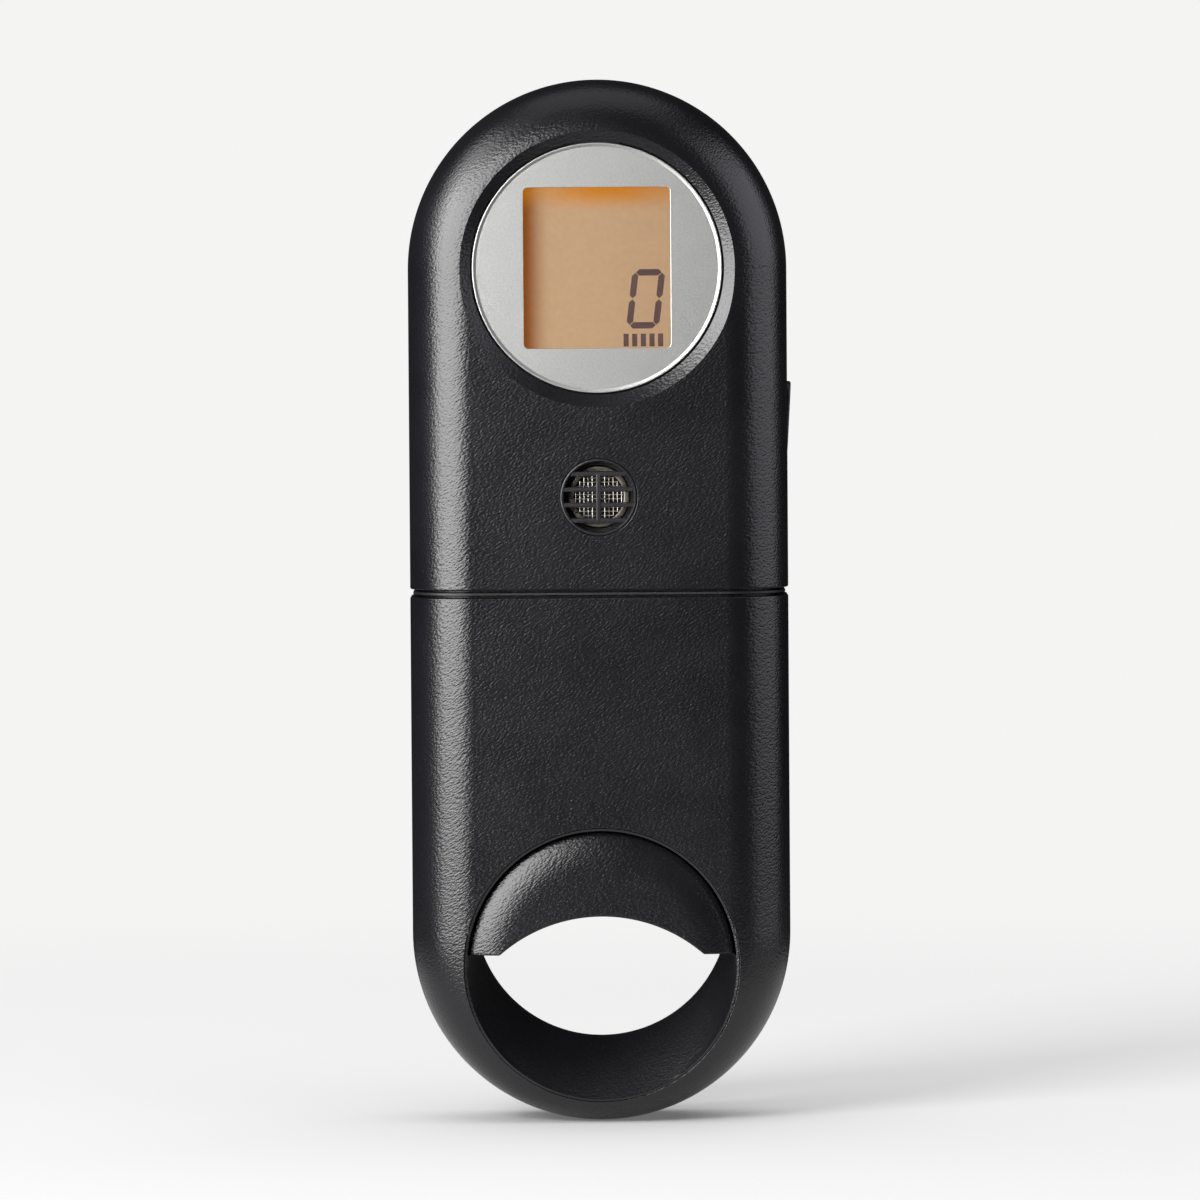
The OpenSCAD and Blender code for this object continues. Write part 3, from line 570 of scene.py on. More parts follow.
@dataclass(frozen=True)
class Finish:
    """A surface finish: its colour, gloss and the fine detail of its skin."""

    name: str
    colour: Colour
    roughness: float = 0.5
    metallic: float = 0.0
    specular: float = 0.5

    def start(self) -> tuple[bpy.types.Material, NodeBench, bpy.types.Node]:
        """Makes the material with its shader's plain values set.

        Returns:
            The material, its bench and its shader.
        """
        made = bpy.data.materials.new(self.name)
        made.use_nodes = True
        bench = NodeBench(made.node_tree)
        shader = made.node_tree.nodes["Principled BSDF"]
        shader.inputs["Base Color"].default_value = (*self.colour, 1.0)
        shader.inputs["Roughness"].default_value = self.roughness
        shader.inputs["Metallic"].default_value = self.metallic
        shader.inputs["Specular IOR Level"].default_value = self.specular
        return made, bench, shader

    def group(self, bench: NodeBench, tree: bpy.types.NodeTree, **values: float) -> bpy.types.Node:
        """Places a shared effect, with its input values given by name in plain words."""
        node = bench.add("ShaderNodeGroup", node_tree=tree)
        for key, value in values.items():
            node.inputs[key.replace("_", " ").title()].default_value = value
        return node

    def bump(self, bench: NodeBench, shader: bpy.types.Node, height: bpy.types.NodeSocket,
             depth: float, strength: float = 1.0) -> None:
        """Raises the surface by a height pattern.

        Args:
            bench: The material's bench.
            shader: Its shader.
            height: The pattern.
            depth: Height of the pattern, in metres.
            strength: How much of it shows.
        """
        node = bench.add("ShaderNodeBump", {"Height": height, "Distance": depth,
                                            "Strength": strength})
        bench.tree.links.new(node.outputs["Normal"], shader.inputs["Normal"])

    def material(self) -> bpy.types.Material:
        """Returns the finished material."""
        made, bench, shader = self.start()
        handled = self.group(bench, EFFECTS.handled, patch_scale=220.0)
        deep = tuple(0.8 * c for c in self.colour)
        colour = bench.blend(handled.outputs["Patches"], self.colour, deep)
        rough = bench.spread(handled.outputs["Patches"], 0.0, 1.0, 0.9 * self.roughness,
                             min(1.0, 1.1 * self.roughness))
        bench.tree.links.new(colour, shader.inputs["Base Color"])
        bench.tree.links.new(rough, shader.inputs["Roughness"])
        return made


@dataclass(frozen=True)
class MouldedPlastic(Finish):
    """Injection-moulded plastic with an eroded texture, slight handling shine and dust."""

    cells: float = 2800.0
    grain_depth: float = 0.04 * MM
    dust: float = 0.03

    def material(self) -> bpy.types.Material:
        """Returns the finished material."""
        made, bench, shader = self.start()
        grain = self.group(bench, EFFECTS.grain, cells_per_metre=self.cells)
        handled = self.group(bench, EFFECTS.handled)
        lighter = tuple(min(1.0, 1.2 * c + 0.0005) for c in self.colour)
        worn = tuple(min(1.0, 1.3 * c + 0.006) for c in self.colour)
        dusty = tuple(min(1.0, c + self.dust) for c in self.colour)
        toned = bench.blend(handled.outputs["Patches"], self.colour, lighter)
        rubbed = bench.blend(handled.outputs["Scuffs"], toned, worn)
        colour = bench.blend(handled.outputs["Specks"], rubbed, dusty)
        rough = bench.spread(handled.outputs["Patches"], 0.0, 1.0, self.roughness - 0.01,
                             self.roughness + 0.01)
        bench.tree.links.new(colour, shader.inputs["Base Color"])
        bench.tree.links.new(rough, shader.inputs["Roughness"])
        self.bump(bench, shader, grain.outputs["Height"], self.grain_depth)
        return made


@dataclass(frozen=True)
class Metal(Finish):
    """Drawn, rolled or plated metal."""

    metallic: float = 1.0
    lines: float = 4000.0
    line_depth: float = 0.004 * MM

    def material(self) -> bpy.types.Material:
        """Returns the finished material."""
        made, bench, shader = self.start()
        drawn = self.group(bench, EFFECTS.drawn, lines_per_metre=self.lines)
        deep = tuple(0.72 * c for c in self.colour)
        colour = bench.blend(drawn.outputs["Mottle"], deep, self.colour)
        rough = bench.spread(drawn.outputs["Lines"], 0.3, 0.7, 0.8 * self.roughness,
                             min(1.0, 1.25 * self.roughness))
        bench.tree.links.new(colour, shader.inputs["Base Color"])
        bench.tree.links.new(rough, shader.inputs["Roughness"])
        self.bump(bench, shader, drawn.outputs["Lines"], self.line_depth)
        return made


@dataclass(frozen=True)
class SilverPaint(Finish):
    """Silver paint with a fine metal flake."""

    metallic: float = 1.0
    flakes: float = 5200.0

    def material(self) -> bpy.types.Material:
        """Returns the finished material."""
        made, bench, shader = self.start()
        place = bench.place()
        flake = bench.add("ShaderNodeTexVoronoi", {"Vector": place, "Scale": self.flakes})
        cloud = bench.add("ShaderNodeTexNoise", {"Vector": place, "Scale": 3600.0, "Detail": 3.0})
        tone = bench.spread(cloud.outputs["Fac"], 0.25, 0.75)
        deep = tuple(0.90 * c for c in self.colour)
        light = tuple(min(1.0, 1.05 * c) for c in self.colour)
        colour = bench.blend(tone, deep, light)
        bench.tree.links.new(colour, shader.inputs["Base Color"])
        height = bench.math("MULTIPLY_ADD", flake.outputs["Distance"], 0.6, tone)
        self.bump(bench, shader, height, 0.005 * MM)
        return made


@dataclass(frozen=True)
class ClearPlastic(Finish):
    """Clear plastic that lets the light for shadows through."""

    ior: float = 1.49

    def material(self) -> bpy.types.Material:
        """Returns the finished material."""
        made, bench, shader = self.start()
        shader.inputs["Transmission Weight"].default_value = 1.0
        shader.inputs["IOR"].default_value = self.ior
        place = bench.place()
        smear = bench.add("ShaderNodeTexNoise", {"Vector": place, "Scale": 140.0, "Detail": 4.0})
        rough = bench.spread(smear.outputs["Fac"], 0.4, 0.8, self.roughness,
                             self.roughness + 0.04)
        bench.tree.links.new(rough, shader.inputs["Roughness"])
        through = bench.add("ShaderNodeBsdfTransparent")
        shadow = bench.add("ShaderNodeLightPath").outputs["Is Shadow Ray"]
        mixed = bench.add("ShaderNodeMixShader", {0: shadow, 1: shader.outputs["BSDF"],
                                                  2: through.outputs["BSDF"]})
        output = bench.tree.nodes["Material Output"]
        bench.tree.links.new(mixed.outputs["Shader"], output.inputs["Surface"])
        return made


@dataclass(frozen=True)
class LcdFace(Finish):
    """Face of a liquid-crystal glass, lit amber from LEDs behind its upper edge, with painted light
    and shade in its glow.
    """

    low: Point = (0.0, 0.0, 0.0)
    high: Point = (0.0, 0.0, 0.0)
    # Amber backlight plus a painted pale reflection of the key light.
    backlight_and_painted_light: Colour = (0.535, 0.335, 0.182)
    # Saturated amber of the top band: the LEDs' own glow, with painted shade from the window's top
    # edge.
    led_glow_and_painted_shade: Colour = (0.61, 0.205, 0.0)
    # Painted shadow that the window's left edge casts on the glass.
    painted_shadow_glow: Colour = (0.245, 0.066, 0.002)
    strength: float = 1.0

    def material(self) -> bpy.types.Material:
        """Returns the finished material."""
        made, bench, shader = self.start()
        place = bench.place()
        axes = bench.add("ShaderNodeSeparateXYZ", {0: place}).outputs
        height, width = self.high[2] - self.low[2], self.high[0] - self.low[0]
        # Top band: brighter backlight near the LEDs, and painted shade where the window's top edge
        # shades the glass.
        top_band = bench.spread(axes["Z"], self.high[2] - 0.20 * height,
                                 self.high[2] - 0.07 * height)
        middle = self.low[0] + 0.58 * width
        off_middle = bench.math("ABSOLUTE", bench.math("SUBTRACT", axes["X"], middle))
        under_led = bench.spread(off_middle, 0.46 * width, 0.05 * width, 0.5, 1.0)
        top_band_share = bench.math("MULTIPLY", top_band, under_led)
        # Painted shadow of the window's left edge, down the left side of the glass.
        painted_shadow_at_left = bench.spread(axes["X"], self.low[0] + 0.22 * width, self.low[0] + 0.05 * width)
        to_right = bench.spread(axes["X"], self.low[0] + 0.3 * width, self.high[0], 1.0, 0.90)
        cloud = bench.add("ShaderNodeTexNoise", {"Vector": place, "Scale": 1500.0, "Detail": 3.0})
        mottle = bench.spread(cloud.outputs["Fac"], 0.3, 0.7, 0.97, 1.03)
        colour = bench.blend(painted_shadow_at_left, self.backlight_and_painted_light, self.painted_shadow_glow)
        colour = bench.blend(top_band_share, colour, self.led_glow_and_painted_shade)
        level = bench.math("MULTIPLY", to_right, mottle)
        lit = bench.add("ShaderNodeVectorMath", {0: colour, "Scale": level}, operation="SCALE")
        bench.tree.links.new(lit.outputs[0], shader.inputs["Emission Color"])
        shader.inputs["Emission Strength"].default_value = self.strength
        self.bump(bench, shader, cloud.outputs["Fac"], 0.004 * MM)
        return made


@dataclass(frozen=True)
class Glow(Finish):
    """Lit resin, as on an LED or a light guide."""

    strength: float = 1.5

    def material(self) -> bpy.types.Material:
        """Returns the finished material."""
        made, bench, shader = self.start()
        place = bench.place()
        cloud = bench.add("ShaderNodeTexNoise", {"Vector": place, "Scale": 700.0, "Detail": 2.0})
        deep = tuple(0.7 * c for c in self.colour)
        colour = bench.blend(cloud.outputs["Fac"], deep, self.colour)
        bench.tree.links.new(colour, shader.inputs["Base Color"])
        bench.tree.links.new(colour, shader.inputs["Emission Color"])
        shader.inputs["Emission Strength"].default_value = self.strength
        return made


@dataclass(frozen=True)
class CircuitBoard(Finish):
    """Solder mask over copper tracks, with tinned pads."""

    copper: Colour = (0.02, 0.16, 0.07)
    pads: Colour = (0.62, 0.60, 0.55)

    def material(self) -> bpy.types.Material:
        """Returns the finished material."""
        made, bench, shader = self.start()
        place = bench.place()
        tracks = bench.add("ShaderNodeTexVoronoi", {"Vector": place, "Scale": 420.0,
                                                    "Randomness": 0.6},
                           feature="F1", distance="CHEBYCHEV")
        pads = bench.add("ShaderNodeTexVoronoi", {"Vector": place, "Scale": 300.0})
        on_track = bench.spread(tracks.outputs["Distance"], 0.36, 0.42)
        on_pad = bench.spread(pads.outputs["Distance"], 0.12, 0.10)
        colour = bench.blend(on_pad, bench.blend(on_track, self.colour, self.copper), self.pads)
        bench.tree.links.new(colour, shader.inputs["Base Color"])
        bench.tree.links.new(bench.math("MULTIPLY", on_pad, 0.9), shader.inputs["Metallic"])
        self.bump(bench, shader, on_track, 0.03 * MM)
        return made


@dataclass(frozen=True)
class CellSleeve(Finish):
    """Printed shrink sleeve of a battery cell, with bare metal at its ends."""

    band: Colour = (0.55, 0.36, 0.06)
    band_from: float = 0.0
    band_to: float = 0.0

    def material(self) -> bpy.types.Material:
        """Returns the finished material."""
        made, bench, shader = self.start()
        place = bench.place()
        height = bench.add("ShaderNodeSeparateXYZ", {0: place}).outputs["Z"]
        above = bench.spread(height, self.band_from - 0.1 * MM, self.band_from + 0.1 * MM)
        below = bench.spread(height, self.band_to + 0.1 * MM, self.band_to - 0.1 * MM)
        banded = bench.blend(bench.math("MULTIPLY", above, below), self.colour, self.band)
        scuffs = bench.add("ShaderNodeTexNoise", {"Vector": place, "Scale": 800.0, "Detail": 4.0})
        worn = bench.spread(scuffs.outputs["Fac"], 0.62, 0.75, 0.0, 0.5)
        bench.tree.links.new(bench.blend(worn, banded, grey(0.2)), shader.inputs["Base Color"])
        return made


def dress(piece: bpy.types.Object, material: bpy.types.Material) -> None:
    """Gives every face of a piece one material, through the slots that it has."""
    if not piece.material_slots:
        piece.data.materials.append(material)
    for place in piece.material_slots:
        place.material = material


BLACK = (0.0032, 0.0031, 0.0042)


@dataclass
class FinishSet:
    """Every finish of the object, by the name of its slot in the record."""

    plain: dict[str, Finish] = field(default_factory=dict)
    made: dict[str, bpy.types.Material] = field(default_factory=dict)

    def __post_init__(self) -> None:
        """Lists the finishes."""
        glass_low, glass_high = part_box("lcd_glass")
        cell_low, cell_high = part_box("cell_left")
        listed = {
            "housing": MouldedPlastic("housing_black", BLACK, 0.29),
            "joining_band": MouldedPlastic("band_black", BLACK, 0.5, grain_depth=0.02 * MM),
            "trigger": MouldedPlastic("trigger_black", BLACK, 0.29),
            "liner": MouldedPlastic("liner_black", BLACK, 0.33),
            "button": MouldedPlastic("button_black", (0.012, 0.012, 0.013), 0.38,
                                     grain_depth=0.02 * MM),
            "grille": MouldedPlastic("grille_black", BLACK, 0.40, grain_depth=0.015 * MM),
            "battery_tray": MouldedPlastic("tray_black", (0.012, 0.012, 0.013), 0.5,
                                           grain_depth=0.02 * MM),
            "white_plastic": MouldedPlastic("frame_white", (0.72, 0.71, 0.66), 0.45,
                                            grain_depth=0.01 * MM, dust=-0.15),
            "silver_disc": SilverPaint("silver_paint", (0.485, 0.485, 0.471), 0.40),
            "clear_window": ClearPlastic("clear_window", grey(1.0), 0.02),
            "lcd": LcdFace("amber_lcd", (0.014, 0.010, 0.007), 0.6, specular=0.15,
                           low=tuple(glass_low), high=tuple(glass_high)),
            "lcd_marks": Finish("lcd_marks", (0.052, 0.028, 0.026), 0.6, specular=0.15),
            "light_guide": Glow("amber_light_guide", (0.85, 0.45, 0.12), 0.3, strength=0.6),
            "led": Glow("amber_led", (1.0, 0.5, 0.1), 0.3, strength=3.0),
            "conductive_rubber": Finish("striped_rubber", (0.30, 0.08, 0.12), 0.7),
            "circuit_board": CircuitBoard("circuit_board", (0.008, 0.07, 0.03), 0.35),
            "chip": Finish("chip_black", (0.015, 0.015, 0.016), 0.55),
            "capacitor": Finish("ceramic_tan", (0.42, 0.30, 0.17), 0.45),
            "steel": Metal("zinc_steel", (0.60, 0.60, 0.59), 0.32),
            "spring_steel": Metal("spring_steel", (0.42, 0.43, 0.45), 0.30),
            # Black of the sounder's foam gasket, also used for the disc that paints the shade inside
            # the can.
            "foam": Finish("black_felt", (0.006, 0.006, 0.006), 0.95),
            "sounder_metal": Metal("nickel_can", (0.30, 0.275, 0.23), 0.34),
            "mesh": Metal("woven_wire", (0.86, 0.81, 0.70), 0.30),
            "cell_sleeve": CellSleeve("cell_sleeve", (0.03, 0.07, 0.22), 0.3,
                                      band_from=cell_low.z + 30 * MM, band_to=cell_high.z - 2 * MM),
            "wire": Finish("wire_sleeve", (0.05, 0.012, 0.012), 0.45),
            "brass": Metal("brass", (0.80, 0.60, 0.27), 0.28),
            "aluminium": Metal("aluminium", (0.80, 0.81, 0.82), 0.36),
            "gauge_film": Finish("gauge_film", (0.62, 0.34, 0.06), 0.3),
            "ribbon": Finish("ribbon_grey", (0.35, 0.35, 0.36), 0.5),
        }
        self.plain.update(listed)

    def get(self, slot: str) -> bpy.types.Material:
        """Returns the material of a slot, made the first time."""
        if slot not in self.made:
            self.made[slot] = self.plain[slot].material()
        return self.made[slot]


# ---- Placing pieces on the frame -----------------------------------------


@dataclass
class Workshop:
    """Finishes pieces and places them on the frame."""

    form: CasingForm
    finishes: FinishSet
    count: int = 0

    def place(self, piece: bpy.types.Object, body: str, slot: str, *nodes: str) -> bpy.types.Object:
        """Dresses a finished piece and lets it ride.

        Args:
            piece: The piece, whose mesh is final.
            body: The CAD body that it moves with.
            slot: The record's slot for its finish.
            nodes: The CAD nodes that it stands for.

        Returns:
            The piece.
        """
        dress(piece, self.finishes.get(slot))
        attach(piece, body)
        if nodes:
            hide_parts(*nodes)
        self.count += 1
        LOG.info("%s: %d faces on %s", piece.name, len(piece.data.polygons), body)
        return piece


# ---- Shapes that repeat (Geometry Nodes) ----------------------------------


def run_tree(name: str, tree: bpy.types.NodeTree, values: dict[str, object],
             base: bpy.types.Object | None = None) -> bpy.types.Object:
    """Runs a geometry tree and returns its result as a plain mesh.

    Args:
        name: The new piece's name.
        tree: The geometry tree.
        values: A value for each named input.
        base: The object that the tree starts from, or None for an empty one.

    Returns:
        The piece, with no modifier left.
    """
    piece = base or mesh_object(name, [], [])
    sockets = {item.name: item.identifier for item in tree.interface.items_tree
               if item.item_type == "SOCKET" and item.in_out == "INPUT"}
    change = piece.modifiers.new("nodes", "NODES")
    change.node_group = tree
    for label, value in values.items():
        change[sockets[label]] = value
    return bake(piece)


def dress_result(bench: NodeBench, shape: bpy.types.NodeSocket, material: bpy.types.NodeSocket,
                 result: bpy.types.Node) -> None:
    """Ends a geometry tree: makes instances real, sets the material and gives the result."""
    solid = bench.add("GeometryNodeRealizeInstances", {0: shape})
    dressed = bench.add("GeometryNodeSetMaterial", {0: solid.outputs[0], "Material": material})
    bench.tree.links.new(dressed.outputs[0], result.inputs[0])


def stack_in_circle(bench: NodeBench, count: bpy.types.NodeSocket, pitch: bpy.types.NodeSocket,
                    radius: bpy.types.NodeSocket) -> tuple:
    """Points stacked along Z about the middle of a circle.

    Args:
        bench: The tree's bench.
        count: Number of points.
        pitch: Distance between them.
        radius: The circle's radius.

    Returns:
        The points, the place axes, and the circle's chord at each point's height.
    """
    last = bench.math("SUBTRACT", count, 1.0)
    lowest = bench.math("MULTIPLY", bench.math("MULTIPLY", last, pitch), -0.5)
    start = bench.add("ShaderNodeCombineXYZ", {"Z": lowest}).outputs[0]
    step = bench.add("ShaderNodeCombineXYZ", {"Z": pitch}).outputs[0]
    line = bench.add("GeometryNodeMeshLine", {"Count": count, "Start Location": start,
                                              "Offset": step}, mode="OFFSET")
    place = bench.add("GeometryNodeInputPosition").outputs[0]
    axes = bench.add("ShaderNodeSeparateXYZ", {0: place}).outputs
    squares = bench.math("SUBTRACT", bench.math("MULTIPLY", radius, radius),
                         bench.math("MULTIPLY", axes["Z"], axes["Z"]))
    chord = bench.math("MULTIPLY", bench.math("SQRT", squares), 2.0)
    return line.outputs[0], axes, chord


def rows_tree() -> bpy.types.NodeTree:
    """Geometry tree: copies of a bar of unit length, stacked along Z and cut to a circle."""
    tree, bench, given, result = new_group(
        "rows_of_bars", "GeometryNodeTree",
        [("Geometry", "NodeSocketGeometry", None), ("Bar", "NodeSocketObject", None),
         ("Count", "NodeSocketInt", 4), ("Spacing", "NodeSocketFloat", 2.3 * MM),
         ("Circle Radius", "NodeSocketFloat", 5.0 * MM), ("Longest", "NodeSocketFloat", 1.0),
         ("Material", "NodeSocketMaterial", None)],
        [("Geometry", "NodeSocketGeometry")])
    points, _, chord = stack_in_circle(bench, given["Count"], given["Spacing"],
                                       given["Circle Radius"])
    length = bench.math("MINIMUM", chord, given["Longest"])
    scale = bench.add("ShaderNodeCombineXYZ", {"X": length, "Y": 1.0, "Z": 1.0}).outputs[0]
    bar = bench.add("GeometryNodeObjectInfo", {"Object": given["Bar"]})
    copies = bench.add("GeometryNodeInstanceOnPoints", {
        "Points": points, "Instance": bar.outputs["Geometry"], "Scale": scale})
    dress_result(bench, copies.outputs[0], given["Material"], result)
    return tree


def scatter_tree() -> bpy.types.NodeTree:
    """Geometry tree: a fastener at each point, turned about its own axis by chance."""
    tree, bench, given, result = new_group(
        "fasteners", "GeometryNodeTree",
        [("Geometry", "NodeSocketGeometry", None), ("Fastener", "NodeSocketObject", None),
         ("Seed", "NodeSocketInt", 7), ("Material", "NodeSocketMaterial", None)],
        [("Geometry", "NodeSocketGeometry")])
    chance = bench.add("FunctionNodeRandomValue", {"Seed": given["Seed"]}, data_type="FLOAT")
    angle = bench.math("MULTIPLY", chance.outputs[1], TURN)
    turn = bench.add("ShaderNodeCombineXYZ", {"Y": angle}).outputs[0]
    fastener = bench.add("GeometryNodeObjectInfo", {"Object": given["Fastener"]})
    copies = bench.add("GeometryNodeInstanceOnPoints", {
        "Points": given["Geometry"], "Instance": fastener.outputs["Geometry"], "Rotation": turn})
    dress_result(bench, copies.outputs[0], given["Material"], result)
    return tree


def coil_tree() -> bpy.types.NodeTree:
    """Geometry tree: round wire coiled about Z."""
    tree, bench, given, result = new_group(
        "coil_spring", "GeometryNodeTree",
        [("Geometry", "NodeSocketGeometry", None), ("Coil Radius", "NodeSocketFloat", 2.6 * MM),
         ("Wire Radius", "NodeSocketFloat", 0.35 * MM), ("Turns", "NodeSocketFloat", 6.0),
         ("Height", "NodeSocketFloat", 9.0 * MM), ("Material", "NodeSocketMaterial", None)],
        [("Geometry", "NodeSocketGeometry")])
    path = bench.add("GeometryNodeCurveSpiral", {
        "Resolution": 24, "Rotations": given["Turns"], "Start Radius": given["Coil Radius"],
        "End Radius": given["Coil Radius"], "Height": given["Height"]})
    wire = bench.add("GeometryNodeCurvePrimitiveCircle", {"Resolution": 10,
                                                          "Radius": given["Wire Radius"]})
    skin = bench.add("GeometryNodeCurveToMesh", {"Curve": path.outputs[0],
                                                 "Profile Curve": wire.outputs[0],
                                                 "Fill Caps": True})
    dress_result(bench, skin.outputs[0], given["Material"], result)
    return tree


def weave_tree() -> bpy.types.NodeTree:
    """Geometry tree: woven wire cloth in X and Z, cut to a circle."""
    tree, bench, given, result = new_group(
        "woven_wire_cloth", "GeometryNodeTree",
        [("Geometry", "NodeSocketGeometry", None), ("Circle Radius", "NodeSocketFloat", 3.7 * MM),
         ("Pitch", "NodeSocketFloat", 0.4 * MM), ("Count", "NodeSocketInt", 17),
         ("Wire Radius", "NodeSocketFloat", 0.08 * MM), ("Wave", "NodeSocketFloat", 0.07 * MM),
         ("Material", "NodeSocketMaterial", None)],
        [("Geometry", "NodeSocketGeometry")])
    points, axes, chord = stack_in_circle(bench, given["Count"], given["Pitch"],
                                          given["Circle Radius"])
    scale = bench.add("ShaderNodeCombineXYZ", {"X": chord, "Y": 1.0, "Z": 1.0}).outputs[0]
    thread = bench.add("GeometryNodeCurvePrimitiveLine", {"Start": (-0.5, 0.0, 0.0),
                                                          "End": (0.5, 0.0, 0.0)})
    copies = bench.add("GeometryNodeInstanceOnPoints", {
        "Points": points, "Instance": thread.outputs[0], "Scale": scale})
    weft = bench.add("GeometryNodeRealizeInstances", {0: copies.outputs[0]})
    fine = bench.math("MULTIPLY", given["Pitch"], 0.25)
    weft = bench.add("GeometryNodeResampleCurve", {"Curve": weft.outputs[0], "Length": fine},
                     mode="LENGTH")
    warp = bench.add("GeometryNodeTransform", {"Geometry": weft.outputs[0],
                                               "Rotation": (0.0, QUARTER, 0.0)})
    half_turn = bench.math("DIVIDE", math.pi, given["Pitch"])
    waves = [bench.math("COSINE", bench.math("MULTIPLY", axes[axis], half_turn))
             for axis in ("X", "Z")]
    wave = bench.math("MULTIPLY", bench.math("MULTIPLY", *waves), given["Wave"])
    profile = bench.add("GeometryNodeCurvePrimitiveCircle", {"Resolution": 6,
                                                             "Radius": given["Wire Radius"]})
    both = bench.add("GeometryNodeJoinGeometry")
    for threads, sign in ((warp, -1.0), (weft, 1.0)):
        shift = bench.add("ShaderNodeCombineXYZ", {"Y": bench.math("MULTIPLY", wave, sign)})
        bent = bench.add("GeometryNodeSetPosition", {"Geometry": threads.outputs[0],
                                                     "Offset": shift.outputs[0]})
        skin = bench.add("GeometryNodeCurveToMesh", {"Curve": bent.outputs[0],
                                                     "Profile Curve": profile.outputs[0],
                                                     "Fill Caps": True})
        tree.links.new(skin.outputs[0], both.inputs[0])
    dress_result(bench, both.outputs[0], given["Material"], result)
    return tree


# ---- Housings -------------------------------------------------------------


@dataclass
class Housings:
    """The four housing shells, the band that joins them and their screws."""

    shop: Workshop
    seam_edge: float = 0.25 * MM
    parting_edge: float = 0.12 * MM
    hole_edge: float = 0.18 * MM
    arc_steps: int = 22
    end_steps: int = 96
    upper_screws: tuple[Pair, ...] = ((0.0, 146.5), (-13.5, 86.8), (13.5, 86.8))
    lower_screws: tuple[Pair, ...] = ((-13.5, 72.0), (13.5, 72.0), (-17.5, 46.5), (17.5, 46.5))
    head_seat: float = 10.5 * MM
    boss_r: float = 3.6 * MM
    button_gap: float = 0.2 * MM
    crisp_deg: float = 25.0

    def profile(self, inset: float) -> list[Pair]:
        """Half of the shell's section, from the middle out to the parting plane.

        Args:
            inset: How far its outer surface is drawn in, for the rounding at the seam.

        Returns:
            Distance from the spine and depth of each point: the outer skin, then the inner.
        """
        form = self.shop.form
        chains = []
        for skin, edge in ((inset, self.parting_edge), (form.wall, 0.0)):
            r = form.edge_r - skin
            centre = form.half_t - form.edge_r
            chain = [(form.flat_r * share, form.half_t - skin) for share in (0.0, 0.5)]
            for i in range(self.arc_steps + 1):
                a = QUARTER * i / self.arc_steps
                chain.append((form.flat_r + r * math.sin(a), centre + r * math.cos(a)))
            chain.append((form.flat_r + r, edge + 0.5 * MM))
            chain.append((form.flat_r + r, max(edge, 0.05 * MM)))
            chain.append((form.flat_r + r - edge, 0.0))
            chains.append(chain)
        return chains[0] + chains[1][::-1]

    def blank(self, name: str, end: End, side: Side) -> bpy.types.Object:
        """One shell before its holes are cut: the section swept round the housing's U.

        Args:
            name: The object's name.
            end: Upper or lower housing.
            side: Front or rear half.

        Returns:
            The closed blank.
        """
        form = self.shop.form
        seam = seam_height(end)
        axis = form.axis_z(end)
        stations = [(seam + end.value * up, inset)
                    for up, inset in quarter_round(self.seam_edge, 3)]
        right = [(0.0, z, inset) for z, inset in stations]
        round_end = [(math.pi * i / self.end_steps, axis, 0.0)
                     for i in range(self.end_steps + 1)]
        left = [(math.pi, z, inset) for z, inset in reversed(stations)]
        points, rings = [], []
        for a, z, inset in right + round_end + left:
            ring = [(rho * math.cos(a), side.value * depth, z + end.value * rho * math.sin(a))
                    for rho, depth in self.profile(inset)]
            rings.append(len(points))
            points += ring
        count = len(self.profile(0.0))
        faces = [(a + k, a + k + 1, b + k + 1, b + k)
                 for a, b in zip(rings, rings[1:]) for k in range(count - 1)]
        for first in (rings[0], rings[-1]):
            for k in range(count // 2 - 1):
                faces.append((first + k, first + k + 1,
                              first + count - 2 - k, first + count - 1 - k))
        return mesh_object(name, points, faces)

    def hole_rounding(self, hole: Disc, size: float, side: Side) -> bpy.types.Object:
        """Tool that rounds the edge of a round hole where it meets the casing's surface.

        Args:
            hole: The hole's outline.
            size: Radius of the rounding.
            side: Front or rear half.

        Returns:
            The tool, a thin ring that follows the surface.
        """
        form = self.shop.form
        past = 0.4 * MM
        section = [(out, down) for down, out in quarter_round(size)]
        section += [(-past, size), (-past, -past), (size, -past)]
        rings = []
        for i in range(hole.steps):
            a = TURN * i / hole.steps
            ring = []
            for out, down in section:
                x = hole.x + (hole.r + out) * math.cos(a)
                z = hole.z + (hole.r + out) * math.sin(a)
                ring.append((x, side.value * (form.depth(x, z) - down), z))
            rings.append(ring)
        return loft("hole_rounding", rings, wrap=True)

    def add_bosses(self, shell: bpy.types.Object, places: Sequence[Pair], side: Side) -> None:
        """Joins the screw posts to a shell and bores them."""
        form = self.shop.form
        for x, z in places:
            x, z = x * MM, z * MM
            deep = form.half_t - form.wall / 2
            post = prism("post", Disc(self.boss_r, z, x, 40),
                         [(0.0, 0.0), (side.value * deep, 0.0)])
            carve(shell, post, "UNION")
            if side is Side.FRONT:
                bore = [(1.25, 1.0), (1.25, -8.0), (0.0, -8.0), (0.0, 1.0)]
            else:
                seat = self.head_seat / MM
                bore = [(0.0, -1.0), (1.4, -1.0), (1.4, seat), (2.5, seat),
                        (2.5, 13.3), (2.75, 13.56), (2.75, 14.5), (0.0, 14.5)]
            carve(shell, lathe("bore", [(r * MM, y * MM) for r, y in bore], x, z, 48))

